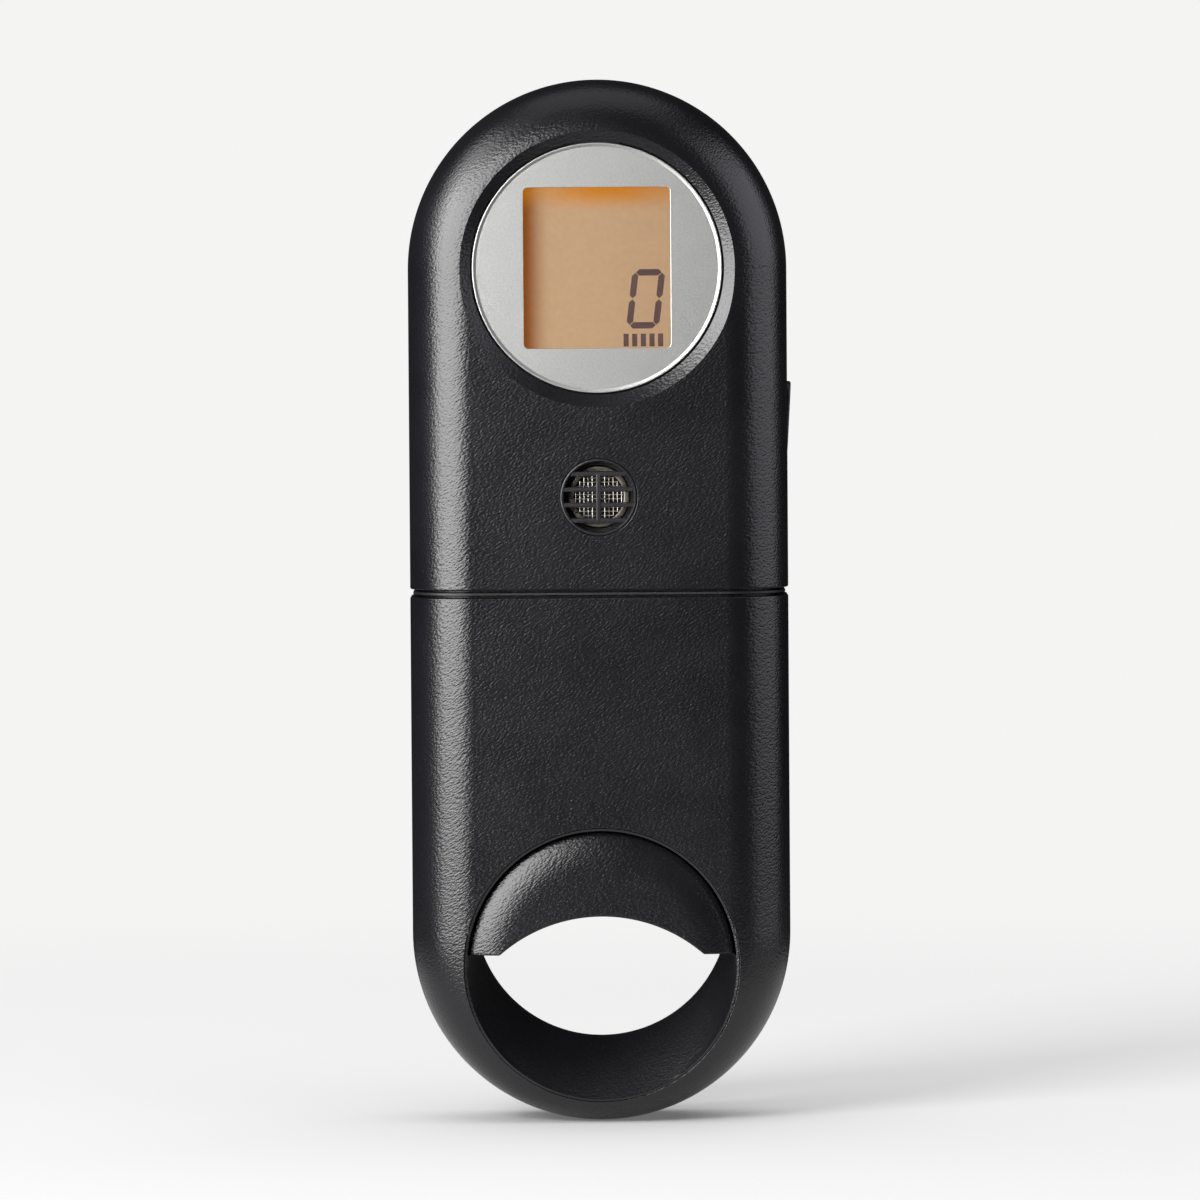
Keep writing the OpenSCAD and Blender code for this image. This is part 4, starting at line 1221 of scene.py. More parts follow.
    def upper_front(self) -> None:
        """Builds the front shell of the upper housing."""
        shell = self.blank("upper_front_housing", End.UPPER, Side.FRONT)
        disc = round_of("display_disc")
        seat_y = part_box("display_disc")[1].y
        face_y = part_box("display_disc")[0].y
        window_low, window_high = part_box("display_window")
        ledge_deep = 1.5 * MM
        ledge = prism("ledge", Disc(disc.r + 2.3 * MM, disc.z),
                      [(-12.4 * MM, 0.0), (seat_y + ledge_deep, 0.0)])
        carve(shell, ledge, "UNION")
        bore_r = disc.r + 0.25 * MM
        slope = 1.95
        top = 3.0 * MM
        sink = [(0.0, face_y - top), (bore_r + 0.2 * MM + slope * top, face_y - top),
                (bore_r + 0.2 * MM, face_y - 0.04 * MM), (bore_r + 0.06 * MM, face_y + 0.02 * MM),
                (bore_r, face_y + 0.16 * MM), (bore_r, seat_y), (0.0, seat_y)]
        carve(shell, lathe("countersink", sink, 0.0, disc.z, 192))
        pane = Plate(window_high.x - window_low.x, window_high.z - window_low.z, 0.7 * MM, disc.z)
        carve(shell, prism("pane_opening", pane, [(seat_y - MM, 0.2 * MM),
                                                  (seat_y + 3 * MM, 0.2 * MM)]))
        grille = round_of("sounder_grille")
        hole = Disc(grille.r + 0.05 * MM, grille.z, 0.0, 96)
        carve(shell, prism("grille_hole", hole, [(-20 * MM, 0.0), (-8 * MM, 0.0)]))
        carve(shell, self.hole_rounding(hole, 0.14 * MM, Side.FRONT))
        self.add_bosses(shell, self.upper_screws, Side.FRONT)
        self.cut_button_slot(shell)
        shade(shell, self.shop.form, self.crisp_deg)
        self.shop.place(shell, "casing", "housing", "upper_front_shell")

    def cut_button_slot(self, shell: bpy.types.Object) -> None:
        """Cuts the side button's slot through the wall, with a rounded outer edge."""
        outline = SideButton.outline(self.button_gap)
        wall_x = self.shop.form.half_w
        rings = [[(x, y, z) for y, z in outline(grow)] for x, grow in (
            (wall_x - 4 * MM, 0.0), (wall_x - 0.25 * MM, 0.0), (wall_x - 0.08 * MM, 0.07 * MM),
            (wall_x + 0.02 * MM, 0.25 * MM), (wall_x + 2 * MM, 0.25 * MM))]
        carve(shell, loft("button_slot", rings))

    def upper_rear(self) -> None:
        """Builds the rear shell of the upper housing."""
        shell = self.blank("upper_rear_housing", End.UPPER, Side.REAR)
        self.add_bosses(shell, self.upper_screws, Side.REAR)
        low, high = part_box("battery_door")
        opening = Plate(high.x - low.x, high.z - low.z, 2.8 * MM, (low.z + high.z) / 2)
        half_t = self.shop.form.half_t
        carve(shell, prism("door_opening", opening, [
            (half_t - 4 * MM, 0.2 * MM), (half_t - 0.3 * MM, 0.2 * MM),
            (half_t - 0.09 * MM, 0.28 * MM), (half_t + 0.02 * MM, 0.5 * MM),
            (half_t + 2 * MM, 0.5 * MM)]))
        self.cut_button_slot(shell)
        shade(shell, self.shop.form, self.crisp_deg)
        self.shop.place(shell, "casing", "housing", "upper_rear_shell")

    def lower(self, side: Side) -> None:
        """Builds one shell of the lower housing, with its round hole for the ring."""
        word = side.name.lower()
        shell = self.blank(f"lower_{word}_housing", End.LOWER, side)
        self.add_bosses(shell, self.lower_screws, side)
        ring = round_of("ring_bezel_front")
        hole = Disc(ring.r + 0.05 * MM, ring.z, 0.0, 192)
        half_t = self.shop.form.half_t
        carve(shell, prism("ring_hole", hole, [(side.value * (half_t + 5 * MM), 0.0),
                                               (-side.value * 5 * MM, 0.0)]))
        carve(shell, self.hole_rounding(hole, self.hole_edge, side))
        liner_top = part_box("ring_liner_front")[1].z
        lip = half_t - 0.95 * MM
        relief = [(hole.r - MM, side.value * lip), (hole.r, side.value * lip),
                  (hole.r + 3.6 * MM, side.value * (half_t - 2 * MM)),
                  (hole.r + 3.6 * MM, side.value * (half_t - 5 * MM)),
                  (hole.r - MM, side.value * (half_t - 5 * MM))]
        tool = lathe("relief", relief, 0.0, hole.z, 192)
        carve(tool, box("above_liner", (-0.1, -0.1, liner_top), (0.1, 0.1, 0.1)), "INTERSECT")
        carve(shell, tool)
        shade(shell, self.shop.form, self.crisp_deg)
        self.shop.place(shell, "casing", "housing", f"lower_{word}_shell")

    def band(self) -> None:
        """Builds the ring that joins the housings: a thin lip in the groove and a sleeve."""
        form = self.shop.form
        low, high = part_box("seam_band")
        middle = (low.z + high.z) / 2
        lip, sleeve = 0.25 * MM, (high.z - low.z) / 2
        skin, inner = form.wall + 0.05 * MM, form.wall + 1.6 * MM
        section = [(0.45 * MM, -0.6 * lip), (0.45 * MM, 0.6 * lip), (0.60 * MM, lip),
                   (skin, lip), (skin, sleeve - 0.3 * MM), (skin + 0.3 * MM, sleeve),
                   (inner, sleeve), (inner, -sleeve), (skin + 0.3 * MM, -sleeve),
                   (skin, -sleeve + 0.3 * MM), (skin, -lip), (0.60 * MM, -lip)]
        outlines = {inset: Plate(2 * form.half_w, 2 * form.half_t, form.edge_r, 0.0,
                                 steps=16).points(-inset) for inset, _ in section}
        count = len(outlines[skin])
        rings = [[(*outlines[inset][i], middle + rise) for inset, rise in section]
                 for i in range(count)]
        band = loft("joining_band", rings, wrap=True)
        shade(band)
        self.shop.place(band, "casing", "joining_band", "seam_band")

    def screw_pattern(self) -> bpy.types.Object:
        """One cross-head screw with a ridged shaft, its head's underside at the origin."""
        pitch, shaft, core = 0.5, 1.2, 1.0
        profile = [(0.0, -17.5), (0.5, -17.3)]
        for i in range(33):
            y = -16.9 + i * pitch
            profile += [(core, y), (shaft, y + pitch / 2)]
        profile += [(shaft, 0.0), (2.2, 0.0), (2.3, 0.1), (2.3, 0.9), (2.22, 1.15), (2.0, 1.4),
                    (1.5, 1.6), (0.8, 1.69), (0.0, 1.7)]
        screw = lathe("screw_pattern", [(r * MM, y * MM) for r, y in profile], 0.0, 0.0, 32)
        for wide, tall in ((2.9, 0.55), (0.55, 2.9)):
            shape = Plate(wide * MM, tall * MM, 0.12 * MM, 0.0, steps=3)
            carve(screw, prism("slot", shape, [(0.75 * MM, -0.2 * MM), (2.0 * MM, 0.0)]))
        shade(screw, angle=30.0)
        return screw

    def screws(self) -> None:
        """Places the casing screws in their recesses."""
        places = [(x * MM, self.head_seat, z * MM) for x, z in self.upper_screws + self.lower_screws]
        pattern = self.screw_pattern()
        base = mesh_object("housing_screws", places, [])
        material = self.shop.finishes.get("steel")
        screws = run_tree("housing_screws", scatter_tree(),
                          {"Fastener": pattern, "Seed": 7, "Material": material}, base)
        discard(pattern)
        self.shop.place(screws, "casing", "steel", "casing_screws")

    def build(self) -> None:
        """Builds every piece of the housings."""
        self.upper_front()
        self.upper_rear()
        self.lower(Side.FRONT)
        self.lower(Side.REAR)
        self.band()
        self.screws()


def round_of(node: str) -> Disc:
    """Circle in X and Z that a round CAD node fills."""
    low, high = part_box(node)
    return Disc((high.x - low.x) / 2, (low.z + high.z) / 2, (low.x + high.x) / 2)


def seam_height(end: End) -> float:
    """Height of the edge of a housing at the seam."""
    if end is End.UPPER:
        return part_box("upper_front_shell")[0].z
    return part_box("lower_front_shell")[1].z


# ---- Display --------------------------------------------------------------


@dataclass
class Display:
    """The silver disc and the clear pane behind its window."""

    shop: Workshop
    window_w: float = 21.8 * MM
    window_h: float = 23.85 * MM
    window_corner: float = 0.7 * MM
    lip_w: float = 0.18 * MM
    lip_depth: float = 0.09 * MM
    slope_w: float = 0.38 * MM

    def disc(self) -> None:
        """Builds the silver disc with a low lip round its rim and an eased window."""
        low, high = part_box("display_disc")
        shape = round_of("display_disc")
        ease, face = 0.06 * MM, low.y + self.lip_depth
        profile = [(0.0, high.y), (shape.r, high.y), (shape.r, low.y + ease),
                   (shape.r - 0.3 * ease, low.y + 0.3 * ease), (shape.r - ease, low.y),
                   (shape.r - self.lip_w, low.y),
                   (shape.r - self.lip_w - self.slope_w, face), (0.0, face)]
        disc = lathe("silver_disc", profile, 0.0, shape.z, 192)
        window = Plate(self.window_w, self.window_h, self.window_corner, shape.z)
        ease = 0.05 * MM
        carve(disc, prism("window", window, [
            (low.y - MM, ease), (face, ease), (face + 0.3 * ease, 0.3 * ease),
            (face + ease, 0.0), (high.y + MM, 0.0)]))
        shade(disc, angle=12.0)
        self.shop.place(disc, "casing", "silver_disc", "display_disc")

    def pane(self) -> None:
        """Builds the clear pane, with ground edges."""
        low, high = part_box("display_window")
        ease = 0.1 * MM
        outline = Plate(high.x - low.x, high.z - low.z, self.window_corner, (low.z + high.z) / 2)
        pane = prism("window_pane", outline, [(low.y, -ease), (low.y + ease, 0.0),
                                              (high.y - ease, 0.0), (high.y, -ease)])
        shade(pane, angle=30.0)
        self.shop.place(pane, "casing", "clear_window", "display_window")

    def build(self) -> None:
        """Builds every piece of the display that needs its own mesh."""
        self.disc()
        self.pane()


# ---- Sounder --------------------------------------------------------------


@dataclass
class Sounder:
    """The round grille, the can behind it and the can's woven front."""

    shop: Workshop
    open_r: float = 5.2 * MM
    bar_w: float = 0.7 * MM
    bar_depth: float = 0.8 * MM
    bar_pitch: float = 2.3 * MM
    bar_count: int = 4

    def bar(self, name: str, width: float, depth: float, rounding: float) -> bpy.types.Object:
        """Bar of unit length along X with a rounded section, centred on its own axis."""
        section = Plate(depth, width, rounding, 0.0, steps=4).points()
        return loft(name, [[(x, y, z) for y, z in section] for x in (-0.5, 0.5)])

    def grille(self, rows: bpy.types.NodeTree) -> None:
        """Builds the grille: a rounded rim, four level bars and one upright bar."""
        low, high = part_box("sounder_grille")
        shape = round_of("sounder_grille")
        front, back, out, hole = low.y, high.y, shape.r, self.open_r
        ease = 0.18 * MM
        profile = [(out, back), (hole, back), (hole, front + 2 * ease), (hole + 0.3 * ease,
                   front + 0.8 * ease), (hole + ease, front + 0.1 * ease),
                   (out - ease, front), (out - 0.3 * ease, front + 0.3 * ease),
                   (out, front + ease)]
        rim = lathe("sounder_grille_cover", profile, 0.0, shape.z, 128)
        pattern = self.bar("bar_pattern", self.bar_w, self.bar_depth, 0.16 * MM)
        material = self.shop.finishes.get("grille")
        bars = run_tree("grille_bars", rows, {
            "Bar": pattern, "Count": self.bar_count, "Spacing": self.bar_pitch,
            "Circle Radius": self.open_r + 0.15 * MM, "Longest": 1.0, "Material": material})
        discard(pattern)
        bar_y = front + 0.1 * MM + self.bar_depth / 2
        bars.data.transform(Matrix.Translation((0.0, bar_y, shape.z)))
        half = (self.bar_count - 1) / 2 * self.bar_pitch
        ease = 0.14 * MM
        upright = box("upright", (-self.bar_w / 2, front + 0.06 * MM, shape.z - half),
                      (self.bar_w / 2, front + 0.06 * MM + self.bar_depth, shape.z + half), ease)
        join(rim, bars, upright)
        shade(rim, angle=35.0)
        self.shop.place(rim, "casing", "grille", "sounder_grille")

    def can(self) -> None:
        """Builds the metal can, with its front edge rolled in round the opening."""
        low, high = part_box("sounder_can")
        shape = round_of("sounder_can")
        front, back, out, seat = low.y, high.y, shape.r, 3.75 * MM
        roll = 0.22 * MM
        profile = [(0.0, back), (out, back)]
        profile += [(out - inward, front + down) for inward, down in quarter_round(roll)]
        profile += [(seat + outward, front + down)
                    for down, outward in quarter_round(0.5 * roll)]
        inner, floor = out - 0.5 * MM, back - 0.5 * MM
        profile += [(seat, front + 0.45 * MM), (inner, front + 0.6 * MM), (inner, floor),
                    (0.0, floor)]
        can = lathe("sounder_body", profile, 0.0, shape.z, 96)
        shade(can)
        self.shop.place(can, "casing", "sounder_metal", "sounder_can")

    def cloth(self, weave: bpy.types.NodeTree) -> None:
        """Builds the woven front of the can and a dark disc behind it that paints the shade inside
        the can.
        """
        low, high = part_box("sounder_mesh")
        shape = round_of("sounder_mesh")
        pitch = 0.62 * MM
        material = self.shop.finishes.get("mesh")
        woven = run_tree("woven_front", weave, {
            "Circle Radius": shape.r - 0.1 * MM, "Pitch": pitch, "Count": 12,
            "Wire Radius": 0.068 * MM, "Wave": 0.03 * MM, "Material": material})
        woven.data.transform(Matrix.Translation((0.0, (low.y + high.y) / 2, shape.z)))
        shade(woven, angle=60.0)
        self.shop.place(woven, "casing", "mesh", "sounder_mesh")
        # Dark disc behind the woven front: painted shade inside the can, in the black foam finish.
        dome = [(0.0, high.y + 0.35 * MM), (shape.r, high.y + 0.35 * MM),
                (shape.r, high.y + 0.1 * MM), (shape.r - 0.4 * MM, high.y), (0.0, high.y)]
        dimmed = lathe("sounder_felt", dome, 0.0, shape.z, 64)
        shade(dimmed)
        self.shop.place(dimmed, "casing", "foam")

    def build(self, rows: bpy.types.NodeTree, weave: bpy.types.NodeTree) -> None:
        """Builds every piece of the sounder."""
        self.grille(rows)
        self.can()
        self.cloth(weave)


# ---- Side button ----------------------------------------------------------


BUTTON_W = 5.0 * MM
BUTTON_LENGTH = 11.4 * MM
BUTTON_LOW = 98.7 * MM


@dataclass
class SideButton:
    """The wedge-shaped button in the right-hand wall."""

    shop: Workshop
    rise: float = 0.65 * MM
    rounding: float = 0.32 * MM

    @staticmethod
    def outline(margin: float) -> Callable[[float], list[Pair]]:
        """Outline of the button in Y and Z with round ends, grown by a margin."""
        shape = Plate(BUTTON_W, BUTTON_LENGTH, BUTTON_W / 2 - 0.01 * MM,
                      BUTTON_LOW + BUTTON_LENGTH / 2, steps=14)
        return lambda grow: shape.points(margin + grow)

    def build(self) -> None:
        """Builds the button: its cap, the flange behind the wall and the pivot arm."""
        inner_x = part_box("side_button")[0].x
        wall_x = self.shop.form.half_w
        bottom, top = BUTTON_LOW, BUTTON_LOW + BUTTON_LENGTH
        outline = self.outline(0.0)

        def face(z: float) -> float:
            """Place of the sloping outer face at a height."""
            return wall_x + self.rise * (z - bottom) / (top - bottom)

        rings = [[(wall_x - 2.6 * MM, y, z) for y, z in outline(0.0)]]
        for inset, drop in quarter_round(self.rounding):
            rings.append([(face(z) - drop, y, z) for y, z in outline(-inset)])
        cap = loft("side_button_cap", rings)
        flange = box("flange", (wall_x - 3.1 * MM, -3.3 * MM, bottom + 3 * MM),
                     (wall_x - 2.2 * MM, 3.3 * MM, top + 0.7 * MM))
        arm = box("arm", (23.5 * MM, -2.1 * MM, bottom - 0.2 * MM),
                  (wall_x - 2.4 * MM, 2.1 * MM, bottom + 2.0 * MM))
        web = box("web", (24.3 * MM, -2.1 * MM, bottom + 0.9 * MM),
                  (wall_x - 2.5 * MM, 2.1 * MM, bottom + 4 * MM))
        pusher = box("pusher", (inner_x, -2.6 * MM, 105.2 * MM),
                     (wall_x - 2.5 * MM, -1.0 * MM, 106.8 * MM))
        join(cap, flange, arm, web, pusher)
        shade(cap)
        self.shop.place(cap, "button_body", "button", "side_button")


# ---- Finger ring ----------------------------------------------------------


@dataclass
class FingerRing:
    """The bezels and the sloping liners of the finger ring."""

    shop: Workshop
    bezel_r: float = 20.0 * MM
    recess: float = 0.15 * MM
    thick: float = 0.7 * MM
    slope: float = 0.15 * MM
    waist_z: float = 31.3 * MM
    waist_r: float = 19.0 * MM
    funnel_y: float = 11.0 * MM
    crest: float = 0.16
    arc_steps: int = 96
    depth_steps: int = 16

    def bezel(self, side: Side) -> None:
        """Builds the thin ring that edges the hole and follows the casing's surface."""
        form = self.shop.form
        ring = round_of("ring_bezel_front")
        out, hole, ease = ring.r, self.bezel_r, 0.1 * MM
        section = [(out, self.thick), (out, 0.3 * ease), (out - 0.3 * ease, 0.0),
                   (hole + 0.5 * ease, self.slope), (hole, self.slope + ease),
                   (hole, self.thick)]
        rings = []
        for i in range(192):
            a = TURN * i / 192
            loop = []
            for r, down in section:
                x, z = r * math.cos(a), ring.z + r * math.sin(a)
                loop.append((x, side.value * (form.depth(x, z) - self.recess - down), z))
            rings.append(loop)
        word = side.name.lower()
        bezel = loft(f"ring_edge_{word}", rings, wrap=True)
        shade(bezel, angle=30.0)
        self.shop.place(bezel, "casing", "liner", f"ring_bezel_{word}")

    def wall_arc(self, share: float, z_ring: float) -> Pair:
        """Centre height and radius of the sloping wall, from the crest (0) to the mouth (1)."""
        soft = (math.hypot(share, self.crest) - self.crest) / (math.hypot(1, self.crest)
                                                                - self.crest)
        mouth = self.bezel_r - 0.05 * MM
        return (self.waist_z + (z_ring - self.waist_z) * soft,
                self.waist_r + (mouth - self.waist_r) * soft)

    def liner(self, side: Side) -> None:
        """Builds half of the liner: a sleeve with a sloping inner wall up to a round crest."""
        form = self.shop.form
        ring = round_of("ring_bezel_front")
        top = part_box("ring_liner_front")[1].z
        sleeve_r = ring.r - 0.05 * MM
        mouth_r = self.bezel_r - 0.05 * MM
        ease = 0.25 * MM

        def on_arc(centre: float, r: float, share: float) -> Pair:
            """Point of a circle at a share of the way round, both ends level with the top."""
            reach = math.acos(max(-1.0, min(1.0, (centre - top) / r)))
            a = reach * share
            return r * math.sin(a), centre - r * math.cos(a)

        rings = []
        for i in range(self.arc_steps + 1):
            share = 2 * i / self.arc_steps - 1
            loop = []
            for k in range(self.depth_steps + 1):
                t = k / self.depth_steps
                centre, r = self.wall_arc(t, ring.z)
                x, z = on_arc(centre, r, share)
                loop.append((x, side.value * self.funnel_y * t, z))
            for grow, down in ((0.0, 0.85 * MM + ease), (0.3 * ease, 0.85 * MM + 0.3 * ease),
                               (ease, 0.85 * MM)):
                x, z = on_arc(ring.z, mouth_r + grow, share)
                y = max(form.depth(x, z) - down, self.funnel_y + 0.02 * MM
                        - (0.02 * MM if grow else 0.0))
                loop.append((x, side.value * y, z))
            x, z = on_arc(ring.z, sleeve_r, share)
            loop.append((x, side.value * (form.depth(x, z) - 0.85 * MM), z))
            loop.append((x, 0.0, z))
            rings.append(loop)
        word = side.name.lower()
        liner = loft(f"finger_liner_{word}", rings)
        shade(liner, angle=40.0)
        self.shop.place(liner, "casing", "liner", f"ring_liner_{word}")

    def build(self) -> None:
        """Builds both halves of the ring."""
        for side in Side:
            self.bezel(side)
            self.liner(side)


# ---- Trigger --------------------------------------------------------------


@dataclass
class Trigger:
    """The crescent that the finger pulls, with its bosses for the rods and the plunger."""

    shop: Workshop
    rim_r: float = 19.75 * MM
    flat_r: float = 14.0 * MM
    dome_r: float = 13.5 * MM
    arc_z: float = 8.0 * MM
    arc_r: float = 23.0 * MM
    rod_x: float = 11.0 * MM
    rod_bore_r: float = 1.51 * MM
    rod_low: float = 31.05 * MM
    bore_top: float = 60.0 * MM
    shaft_bore_r: float = 2.01 * MM
    shaft_low: float = 36.05 * MM
    boss_r: float = 3.2 * MM
    boss_low: float = 36.0 * MM
    boss_top: float = 41.25 * MM
    boss_ease: float = 0.2 * MM
    rounding: float = 0.18 * MM
    rib_half_t: float = 3.0 * MM
    rib_from_deg: float = 5.4
    across: int = 18
    along: int = 110

    def face(self, r: float, crown: float) -> float:
        """Distance of the domed face from the middle plane, at a radius from the ring's axis."""
        over = max(r - self.flat_r, 0.0)
        return crown - self.dome_r + math.sqrt(self.dome_r ** 2 - over ** 2)

    def crescent(self) -> bpy.types.Object:
        """Closed crescent made of sections between the finger face and the rim."""
        low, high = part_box("trigger")
        ring = round_of("ring_bezel_front")
        rim_r = self.rim_r
        end_z, crown = low.z, high.y
        lower_start = math.asin((end_z - self.arc_z) / self.arc_r)
        upper_start = math.asin((end_z - ring.z) / rim_r)
        rings = []
        for i in range(self.along + 1):
            share = i / self.along
            a = lower_start + (math.pi - 2 * lower_start) * share
            b = upper_start + (math.pi - 2 * upper_start) * share
            inner = Vector((self.arc_r * math.cos(a), self.arc_z + self.arc_r * math.sin(a)))
            outer = Vector((rim_r * math.cos(b), ring.z + rim_r * math.sin(b)))
            front = []
            for k in range(self.across + 1):
                x, z = inner.lerp(outer, k / self.across)
                front.append((x, -self.face(math.hypot(x, z - ring.z), crown), z))
            rear = [(x, -y, z) for x, y, z in reversed(front)]
            rings.append(front + rear)
        return loft("finger_trigger", rings)

    def rib(self) -> bpy.types.Object:
        """Low rib round the rim that shuts the slit between the trigger and the ring."""
        ring = round_of("ring_bezel_front")
        outer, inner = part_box("trigger")[1].z - ring.z, self.rim_r - MM
        ease, half = 0.2 * MM, self.rib_half_t
        section = [(inner, -half), (inner, half), (outer - ease, half), (outer, half - ease),
                   (outer, ease - half), (outer - ease, -half)]
        start = math.radians(self.rib_from_deg)
        rings = []
        for i in range(self.along + 1):
            a = start + (math.pi - 2 * start) * i / self.along
            rings.append([(r * math.cos(a), y, ring.z + r * math.sin(a)) for r, y in section])
        return loft("rib", rings)

    @staticmethod
    def upright(name: str, x: float, *stations: Pair) -> bpy.types.Object:
        """Round bar along Z, given by its radius and height at each station."""
        turns = [TURN * i / 40 for i in range(40)]
        return loft(name, [[(x + r * math.cos(a), r * math.sin(a), z) for a in turns]
                           for r, z in stations])

    def build(self) -> None:
        """Builds the trigger."""
        piece = self.crescent()
        round_edges(piece, self.rounding, 4, 40.0)
        carve(piece, self.rib(), "UNION")
        for x in (-self.rod_x, self.rod_x):
            boss = self.upright("boss", x, (self.boss_r, self.boss_low),
                                (self.boss_r, self.boss_top - self.boss_ease),
                                (self.boss_r - self.boss_ease, self.boss_top))
            carve(piece, boss, "UNION")
            carve(piece, self.upright("bore", x, (self.rod_bore_r, self.rod_low),
                                      (self.rod_bore_r, self.bore_top)))
        carve(piece, self.upright("bore", 0.0, (self.shaft_bore_r, self.shaft_low),
                                  (self.shaft_bore_r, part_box("trigger")[1].z + MM)))
        shade(piece)
        self.shop.place(piece, "trigger_body", "trigger", "trigger")


# ---- Springs --------------------------------------------------------------


@dataclass
class Springs:
    """The trigger's load spring and its two return springs."""

    shop: Workshop
    rod_x: float = 11.0 * MM
    travel: float = 1.0 * MM
    load_r: float = 2.6 * MM
    load_wire: float = 0.7 * MM
    return_r: float = 2.2 * MM
    return_wire: float = 0.5 * MM

    def coil(self, tree: bpy.types.NodeTree, name: str, radius: float, wire: float,
             turns: float, place: Point, height: float) -> bpy.types.Object:
        """Builds one coil that stands on a place."""
        made = run_tree(name, tree, {
            "Coil Radius": radius, "Wire Radius": wire / 2, "Turns": turns,
            "Height": height - wire, "Material": self.shop.finishes.get("spring_steel")})
        x, y, z = place
        made.data.transform(Matrix.Translation((x, y, z + wire / 2)))
        grid = bmesh.new()
        grid.from_mesh(made.data)
        bmesh.ops.recalc_face_normals(grid, faces=grid.faces)
        grid.to_mesh(made.data)
        grid.free()
        return made

    def build(self, tree: bpy.types.NodeTree) -> None:
        """Builds the springs."""
        load_low, load_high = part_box("load_spring")
        load = self.coil(tree, "load_coil", self.load_r, self.load_wire, 6.0,
                         (0.0, 0.0, load_low.z), load_high.z - load_low.z)
        back_low, back_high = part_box("return_springs")
        left, right = (self.coil(tree, "return_coils", self.return_r, self.return_wire, 5.0,
                                 (x, 0.0, back_low.z), back_high.z - back_low.z)
                       for x in (-self.rod_x, self.rod_x))
        returns = join(left, right)
        for piece, node, low, high in ((load, "load_spring", load_low, load_high),
                                       (returns, "return_springs", back_low, back_high)):
            shade(piece, angle=60.0)
            self.shop.place(piece, "casing", "spring_steel", node)
            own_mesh(piece)


# ---- Battery --------------------------------------------------------------


@dataclass
class BatteryDoor:
    """The rear door over the cells, with a ribbed thumb recess."""

    shop: Workshop
    corner: float = 2.8 * MM
    rounding: float = 0.35 * MM
    recess_w: float = 12.0 * MM
    recess_h: float = 9.4 * MM
    recess_depth: float = 0.7 * MM
    rib_count: int = 5
    rib_pitch: float = 1.6 * MM

    def build(self, rows: bpy.types.NodeTree) -> None:
        """Builds the door."""
        low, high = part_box("battery_door")
        outline = Plate(high.x - low.x, high.z - low.z, self.corner, (low.z + high.z) / 2)
        stations = [(low.y, 0.0)]
        stations += [(high.y - drop, -inset) for inset, drop in quarter_round(self.rounding)]
        door = prism("battery_cover", outline, stations)
        thumb_z = high.z - 9.5 * MM
        recess = Plate(self.recess_w, self.recess_h, 1.6 * MM, thumb_z)
        floor = high.y - self.recess_depth
        carve(door, prism("recess", recess, [(floor, -0.25 * MM), (floor + 0.25 * MM, 0.0),
                                             (high.y - 0.15 * MM, 0.05 * MM),
                                             (high.y + MM, 1.0 * MM)]))
        pattern = Sounder(self.shop).bar("rib_pattern", 0.75 * MM, 1.1 * MM, 0.3 * MM)
        ribs = run_tree("door_ribs", rows, {
            "Bar": pattern, "Count": self.rib_count, "Spacing": self.rib_pitch,
            "Circle Radius": 1.0, "Longest": 9.4 * MM,
            "Material": self.shop.finishes.get("housing")})
        discard(pattern)
        ribs.data.transform(Matrix.Translation((0.0, high.y - 0.65 * MM, thumb_z)))
        join(door, ribs)
        shade(door)
        self.shop.place(door, "door_body", "housing", "battery_door")


@dataclass
class Cells:
    """The two AAA cells, with sleeve, shoulders, nub and crimped foot."""

    shop: Workshop

    def build(self) -> None:
        """Builds both cells. Each stands the way its CAD node does."""
        for node, up in (("cell_left", True), ("cell_right", False)):
            low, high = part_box(node)
            r = (high.x - low.x) / 2
            length = (high.z - low.z) / MM
            outer = r / MM
            profile = [(0.0, 0.0), (3.4, 0.0), (3.6, 0.12), (4.6, 0.12), (outer - 0.15, 0.2),
                       (outer, 0.5), (outer, length - 1.5), (outer - 0.15, length - 1.15),
                       (4.4, length - 1.05), (4.2, length - 0.85), (1.95, length - 0.82),
                       (1.9, length - 0.15), (1.7, length), (0.0, length)]
            cell = lathe(f"{node}_aaa", [(a * MM, b * MM) for a, b in profile], 0.0, 0.0, 64)
            turn = Matrix.Rotation(QUARTER if up else -QUARTER, 4, "X")
            foot = low.z if up else high.z
            shift = Matrix.Translation(((low.x + high.x) / 2, (low.y + high.y) / 2, foot))
            cell.data.transform(shift @ turn)
            shade(cell)
            self.shop.place(cell, "casing", "cell_sleeve", node)


# ---- Pieces whose CAD shape stays -----------------------------------------


KEPT_NODES = {
    "lcd_glass": "lcd", "lcd_segments": "lcd_marks", "lcd_frame": "white_plastic",
    "light_guide": "light_guide", "backlight_leds": "led", "zebra_strip": "conductive_rubber",
    "main_board": "circuit_board", "board_screws": "steel", "microcontroller": "chip",
    "amplifier_chip": "chip", "ceramic_capacitors": "capacitor", "crystal": "steel",
    "tact_switch": "chip", "button_pin": "steel", "sounder_gasket": "foam",
    "battery_tray": "battery_tray", "contact_springs": "spring_steel",
    "contact_plates": "steel", "battery_leads": "wire", "guide_rods": "steel",
    "rod_clips": "spring_steel", "plunger": "steel", "guide_bushes": "brass",
    "load_frame": "aluminium", "frame_screws": "steel", "load_cell": "aluminium",
    "strain_gauges": "gauge_film", "load_cell_screws": "steel", "load_button": "steel",
    "load_cell_cable": "ribbon", "cable_plug": "white_plastic",
}


def dress_kept_nodes(finishes: FinishSet) -> None:
    """Gives every CAD node that stays its own finish."""
    for node, slot in KEPT_NODES.items():
        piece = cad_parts[node]
        dress(piece, finishes.get(slot))
        LOG.info("%s: CAD mesh in %s", node, slot)


# ---- Studio ---------------------------------------------------------------


BACKGROUND = (0.905, 0.905, 0.900)


